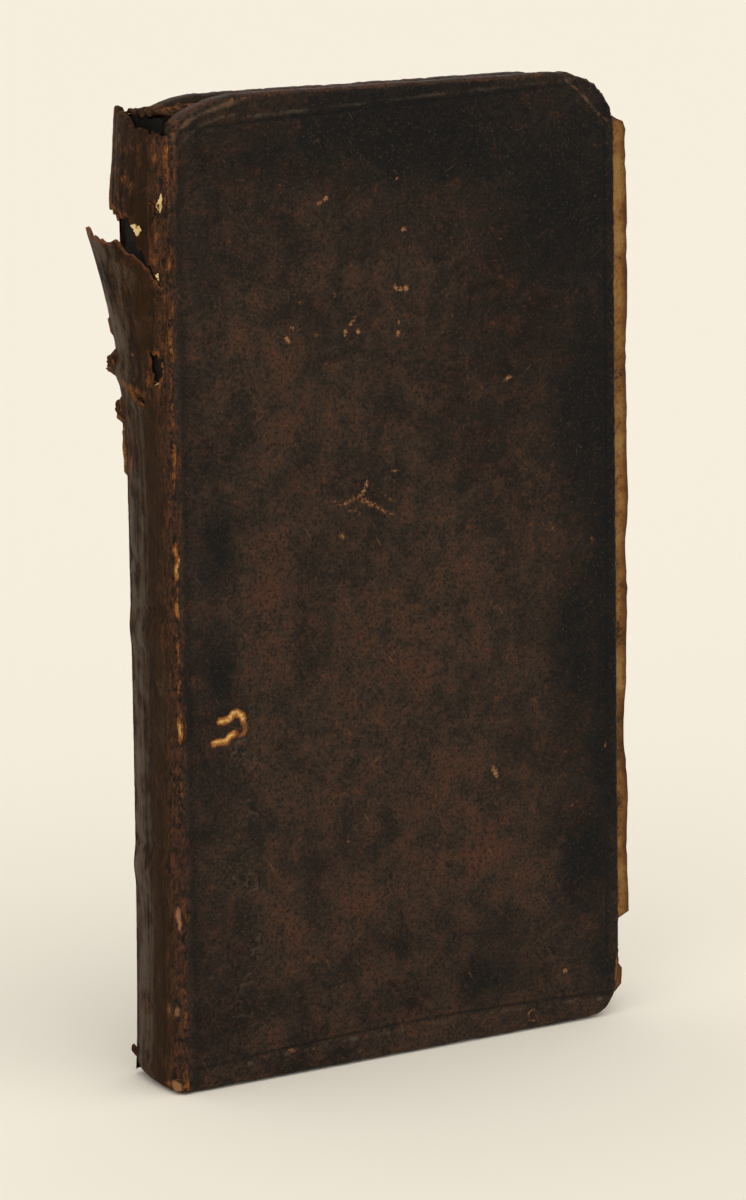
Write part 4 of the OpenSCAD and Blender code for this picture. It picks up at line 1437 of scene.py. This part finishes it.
class BOOK_OT_leaves(bpy.types.Operator):
    """Leaves of the text block, the first gathering standing out at the fore-edge"""

    bl_idname = "book.leaves"
    bl_label = "Leaves"

    def execute(self, context):
        count = context.scene.book_sizes.leaf_count
        front, inner = sheet("leaf_front", 11, 110), sheet("leaf_inner", 11, 26)
        leaves = []
        for index in range(count):
            gathering = index * GATHERINGS // count
            model, number = inner if gathering else front
            leaf = model.copy()
            leaf.data = model.data.copy()
            context.scene.collection.objects.link(leaf)
            self.lay(leaf, number, gathering, index, ((2 * index + 1) / count - 1) * LEAF_HALF)
            leaves.append(leaf)
        for model, _ in (front, inner):
            bpy.data.objects.remove(model)
        piece = merge(leaves, "leaf_block")
        face_out(piece, (0, -1, 0))
        modify(piece, "SOLIDIFY", thickness=mm("leaf_t") * MM, offset=0)
        dress(piece, finish("Leaf paper", leaf_paper, 0.15))
        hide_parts("text_block")
        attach(piece, "book_block")
        return {"FINISHED"}

    def lay(self, leaf, number, gathering, index, middle):
        """Lays one leaf in the block, with where it is browned and where it is darkened towards its ends."""
        across, brown = np.array(LEAF_COLUMNS).T
        low = 3.1 + 0.25 * math.sin(95 * index) + 0.3 * math.sin(math.radians(95 * gathering))
        top = BACK_H - 3.1 + 0.3 * math.sin(211 * index) + 0.4 * math.sin(math.radians(211 * gathering))
        z = np.linspace(low, top, number.shape[0])
        if gathering:
            bow = 2.34 * (1 - gathering / 6) ** 2 - 1.4 + 0.4 * math.sin(math.radians(137 * gathering))
            reach = COVER_W + bow + 0.35 * math.sin(17 * index) + 0.15 * np.sin(z * 0.3 + index)
            reach = reach - 1.5 * (1 - ease(np.minimum(z - low, top - z), 0, 3))
        else:
            reach = COVER_W + first_edge(z) - 0.35 * (index % 3) * abs(math.sin(1.7 * index))
            reach = reach + 0.22 * grain(points(0, 0.4 * index, z), 1.6)
        from_middle = middle / LEAF_HALF
        start = -mm("joint_gap") - 0.6 * (1 - from_middle ** 2)
        x = (start + across * (reach - start)[:, None]).ravel()
        z = np.repeat(z, len(across))
        sway = np.clip(0.1 * grain(points(x, 0.4 * middle, z), 22), -0.08, 0.08)
        y = middle + sway * ease(x, 60, COVER_W + 4) * (1 - from_middle ** 6)
        y[:: len(across)] = from_middle * BACK_HALF
        put(leaf, by_vertex(number, points(JOINT_X + x, y, z)))

        from_end = np.minimum(z - low, top - z)
        paint(leaf, "edge", by_vertex(number, np.maximum(np.tile(brown, len(reach)), np.exp(-from_end / 2))))
        ends, back = ease(from_end, 4, 0.3) * ease(x, 101, 98), ease(x, 24, 10) * ease(top - z, 14, 9)
        paint(leaf, "dust", by_vertex(number, np.maximum(0.92 * ends, back)))


class BOOK_OT_endpapers(bpy.types.Operator):
    """Papers pasted inside the covers, sunk between the leather's turn-ins"""

    bl_idname = "book.endpapers"
    bl_label = "Endpapers"

    def execute(self, context):
        material = finish("Endpaper", endpaper, 0.15)
        for name, node, side, height, body in (
                ("front_endpaper", "front_pastedown", -1, FRONT_H, "front_cover"),
                ("back_endpaper", "back_pastedown", 1, BACK_H, "back_cover")):
            piece, number = sheet(name, 70, 120)
            z = np.linspace(ENDPAPER_INSET, height - ENDPAPER_INSET, number.shape[0])
            left, right = cover_sides(z, height, ENDPAPER_INSET)
            u = np.linspace(0, 1, number.shape[1])
            x = (left[:, None] + u * (right - left)[:, None]).ravel()
            z = np.repeat(z, len(u))
            spots = points(x, 11 * side, z)
            border = np.minimum.reduce([COVER_W - x, z, height - z])
            border = border + 1.1 * grain(spots, 8) + 0.3 * grain(spots, 2)
            sunk = 0.2 * ease(border, mm("turn_in") - 0.4, mm("turn_in") + 0.9)
            sunk = np.maximum(sunk + 0.03 * np.clip(grain(spots, 12), -1, 0), 0)
            put(piece, by_vertex(number, points(JOINT_X + x, side * (INSIDE + sunk), z)))
            face_out(piece, (0, -side, 0))
            modify(piece, "SOLIDIFY", thickness=ENDPAPER_T * MM, offset=-1)
            smooth(piece, 50)
            dress(piece, material)
            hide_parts(node)
            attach(piece, body)
        return {"FINISHED"}


LINING_SCRAPS = (
    # g, z, half width, half height and lean of each scrap of lining in the tear
    (0.4, 174.3, 0.85, 0.95, 0.3), (0.15, 179.6, 1.0, 1.4, -0.6), (0.21, 165.4, 0.3, 0.6, 0.2),
)
HEAD_FOLDS = (
    # start across, lean, half width and rise of each fold in the crumpled leather at the head
    (-0.55, 0.9, 0.16, 1.5), (-0.95, 0.95, 0.13, 1.3), (0.1, 0.7, 0.14, 1.2), (0.7, 0.2, 0.2, 1.0),
)


class BOOK_OT_inside(bpy.types.Operator):
    """Finishes of the boards, slips, sewing cords and spine lining, and the scraps in the tear"""

    bl_idname = "book.inside"
    bl_label = "Boards, cords and lining"

    def execute(self, context):
        cords = ("front_slips", "back_slips", "sewing_cord_tail", "sewing_cord_middle", "sewing_cord_head")
        for name, recipe, nodes in (
                ("Pasteboard", pasteboard, ("front_board", "back_board")), ("Hemp cord", hemp_cord, cords),
                ("Spine paper", spine_paper, ("spine_lining",))):
            material = finish(name, recipe, 0.15)
            for node in nodes:
                dress(frame["nodes"][node], material)
        self.lining_scraps()
        self.crumpled_head()
        return {"FINISHED"}

    def lining_scraps(self):
        """Scraps of lining paper that show in the tear."""
        scraps = []
        for index, (at_g, at_z, wide, high, lean) in enumerate(LINING_SCRAPS):
            scrap, _ = sheet(f"scrap_{index}", 8, 8)
            flat = places(scrap) / places(scrap).max()
            angle = np.arctan2(flat[:, 1], flat[:, 0])
            ring = np.abs(flat[:, :2]).max(axis=1)
            ring = ring * (1 + 0.28 * np.sin(3 * angle + index) + 0.15 * np.sin(7 * angle))
            across, up = ring * np.cos(angle), ring * np.sin(angle)
            g = at_g + across * wide / SPINE_GIRTH
            z = at_z + up * high + lean * across
            stand = stub_stand(g, np.maximum(z, stub_edge(g)))
            put(scrap, spine_place(g, z, stand, 0.2 + 0.125 * across ** 2))
            scraps.append(scrap)
        piece = merge(scraps, "lining_scraps")
        face_out(piece, (-1, -0.4, 0))
        modify(piece, "SOLIDIFY", thickness=SCRAP_T * MM, offset=-1)
        smooth(piece, 60)
        dress(piece, finish("Clean lining", clean_flake, 0.15))
        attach(piece, "book_block")

    def crumpled_head(self):
        """Leather of the lost headcap, pushed down on the heads of the leaves."""
        piece, _ = sheet("crumpled_head", 56, 34)
        along, across, _ = (places(piece) / places(piece).max()).T
        along = (along + 1) / 2
        spots = points(along * 20, across * 6, 0)
        x = -1 + along * (17 + 3.5 * grain(spots * (0, 1, 1) + 4, 2.2, 4))
        drift = 0.1 * grain(spots + 30, 5)
        folds = 0
        for start, lean, wide, rise in HEAD_FOLDS:
            folds = folds + rise * fade(across - start - lean * along + drift, wide)
        z = BACK_H - 2.5 + 0.4 * grain(spots, 1.6, 4) + folds * (0.75 + 0.4 * grain(spots + 9, 4))
        z = np.minimum(z - 1.5 * ease(along, 0.85, 1), BACK_H + 0.4)
        put(piece, points(JOINT_X + x, across * 5.7, z))
        wear = bounded(0.25 + 0.28 * folds + 0.3 * grain(spots + 60, 2))
        for layer, amount in even_wear(wear, 0.8, 0.6 - 0.4 * wear).items():
            paint(piece, layer, np.zeros(len(wear)) + amount)
        face_out(piece, (0, 0, 1))
        modify(piece, "SOLIDIFY", thickness=CRUMPLED_T * MM, offset=-1)
        smooth(piece, 70)
        dress(piece, bpy.data.materials["Spine leather"])
        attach(piece, "book_block")


class BOOK_OT_stage(bpy.types.Operator):
    """Pale floor, soft light and the camera"""

    bl_idname = "book.stage"
    bl_label = "Stage"

    def execute(self, context):
        deselect()
        spot = 0, 0, -FLOOR_DROP
        bpy.ops.mesh.primitive_circle_add(vertices=64, radius=FLOOR_RADIUS, fill_type="NGON", location=spot)
        floor = context.object
        floor.name = "floor"
        bpy.ops.object.transform_apply(location=True, rotation=True, scale=True)
        dress(floor, finish("Floor", floor_paint, 0.1))

        world = bpy.data.worlds.new("Studio")
        context.scene.world = world
        world.use_nodes = True
        sky = world.node_tree.nodes["Background"].inputs
        sky["Color"].default_value = (1.0, 0.98, 0.94, 1)
        sky["Strength"].default_value = 0.72
        for name, spot, energy, spread in (
                ("Key light", (0.1, -1.0, 1.35), 0.85, 80), ("Side light", (-1.0, -0.6, 0.5), 0.35, 40)):
            deselect()
            bpy.ops.object.light_add(type="SUN", location=spot)
            lamp = context.object
            lamp.name = name
            lamp.data.energy = energy
            lamp.data.angle = math.radians(spread)
            lamp.rotation_euler = (-Vector(spot)).to_track_quat("-Z", "Y").to_euler()

        yaw, pitch, roll = (math.radians(angle) for angle in CAMERA_TURN)
        ahead = Vector((math.sin(yaw) * math.cos(pitch), math.cos(yaw) * math.cos(pitch), -math.sin(pitch)))
        right = Vector((math.cos(yaw), -math.sin(yaw), 0))
        up = right.cross(ahead)
        right, up = right * math.cos(roll) + up * math.sin(roll), up * math.cos(roll) - right * math.sin(roll)
        deselect()
        bpy.ops.object.camera_add(location=(0, 0, 0))
        camera = context.object
        camera.name = "Camera"
        turn = Matrix((right, up, -ahead)).transposed().to_4x4()
        camera.matrix_world = Matrix.Translation(Vector(CAMERA_AT) * MM) @ turn
        camera.data.lens = LENS
        camera.data.sensor_width = SENSOR
        context.scene.camera = camera
        context.scene.view_settings.view_transform = "Standard"
        return {"FINISHED"}


class BOOK_PT_sidebar(bpy.types.Panel):
    """Lists the steps that build the book"""

    bl_label = "Manuscript book"
    bl_idname = "BOOK_PT_sidebar"
    bl_space_type = "VIEW_3D"
    bl_region_type = "UI"
    bl_category = "Book"

    def draw(self, context):
        for step in STEPS:
            self.layout.operator(step.bl_idname)
        for group in (context.scene.book_sizes, context.scene.book_colours):
            for name in group.__annotations__:
                self.layout.prop(group, name)


STEPS = (
    BOOK_OT_stage, BOOK_OT_covers, BOOK_OT_spine, BOOK_OT_joints, BOOK_OT_leaves, BOOK_OT_endpapers,
    BOOK_OT_inside,
)
CLASSES = (BookSizes, BookColours, *STEPS, BOOK_PT_sidebar)


def register():
    for cls in CLASSES:
        bpy.utils.register_class(cls)
    bpy.types.Scene.book_sizes = PointerProperty(type=BookSizes)
    bpy.types.Scene.book_colours = PointerProperty(type=BookColours)


def unregister():
    del bpy.types.Scene.book_sizes
    del bpy.types.Scene.book_colours
    for cls in reversed(CLASSES):
        bpy.utils.unregister_class(cls)


def main():
    register()
    bpy.ops.book.stage()
    bpy.ops.book.covers()
    bpy.ops.book.spine()
    bpy.ops.book.joints()
    bpy.ops.book.leaves()
    bpy.ops.book.endpapers()
    bpy.ops.book.inside()


if __name__ == "__main__":
    main()
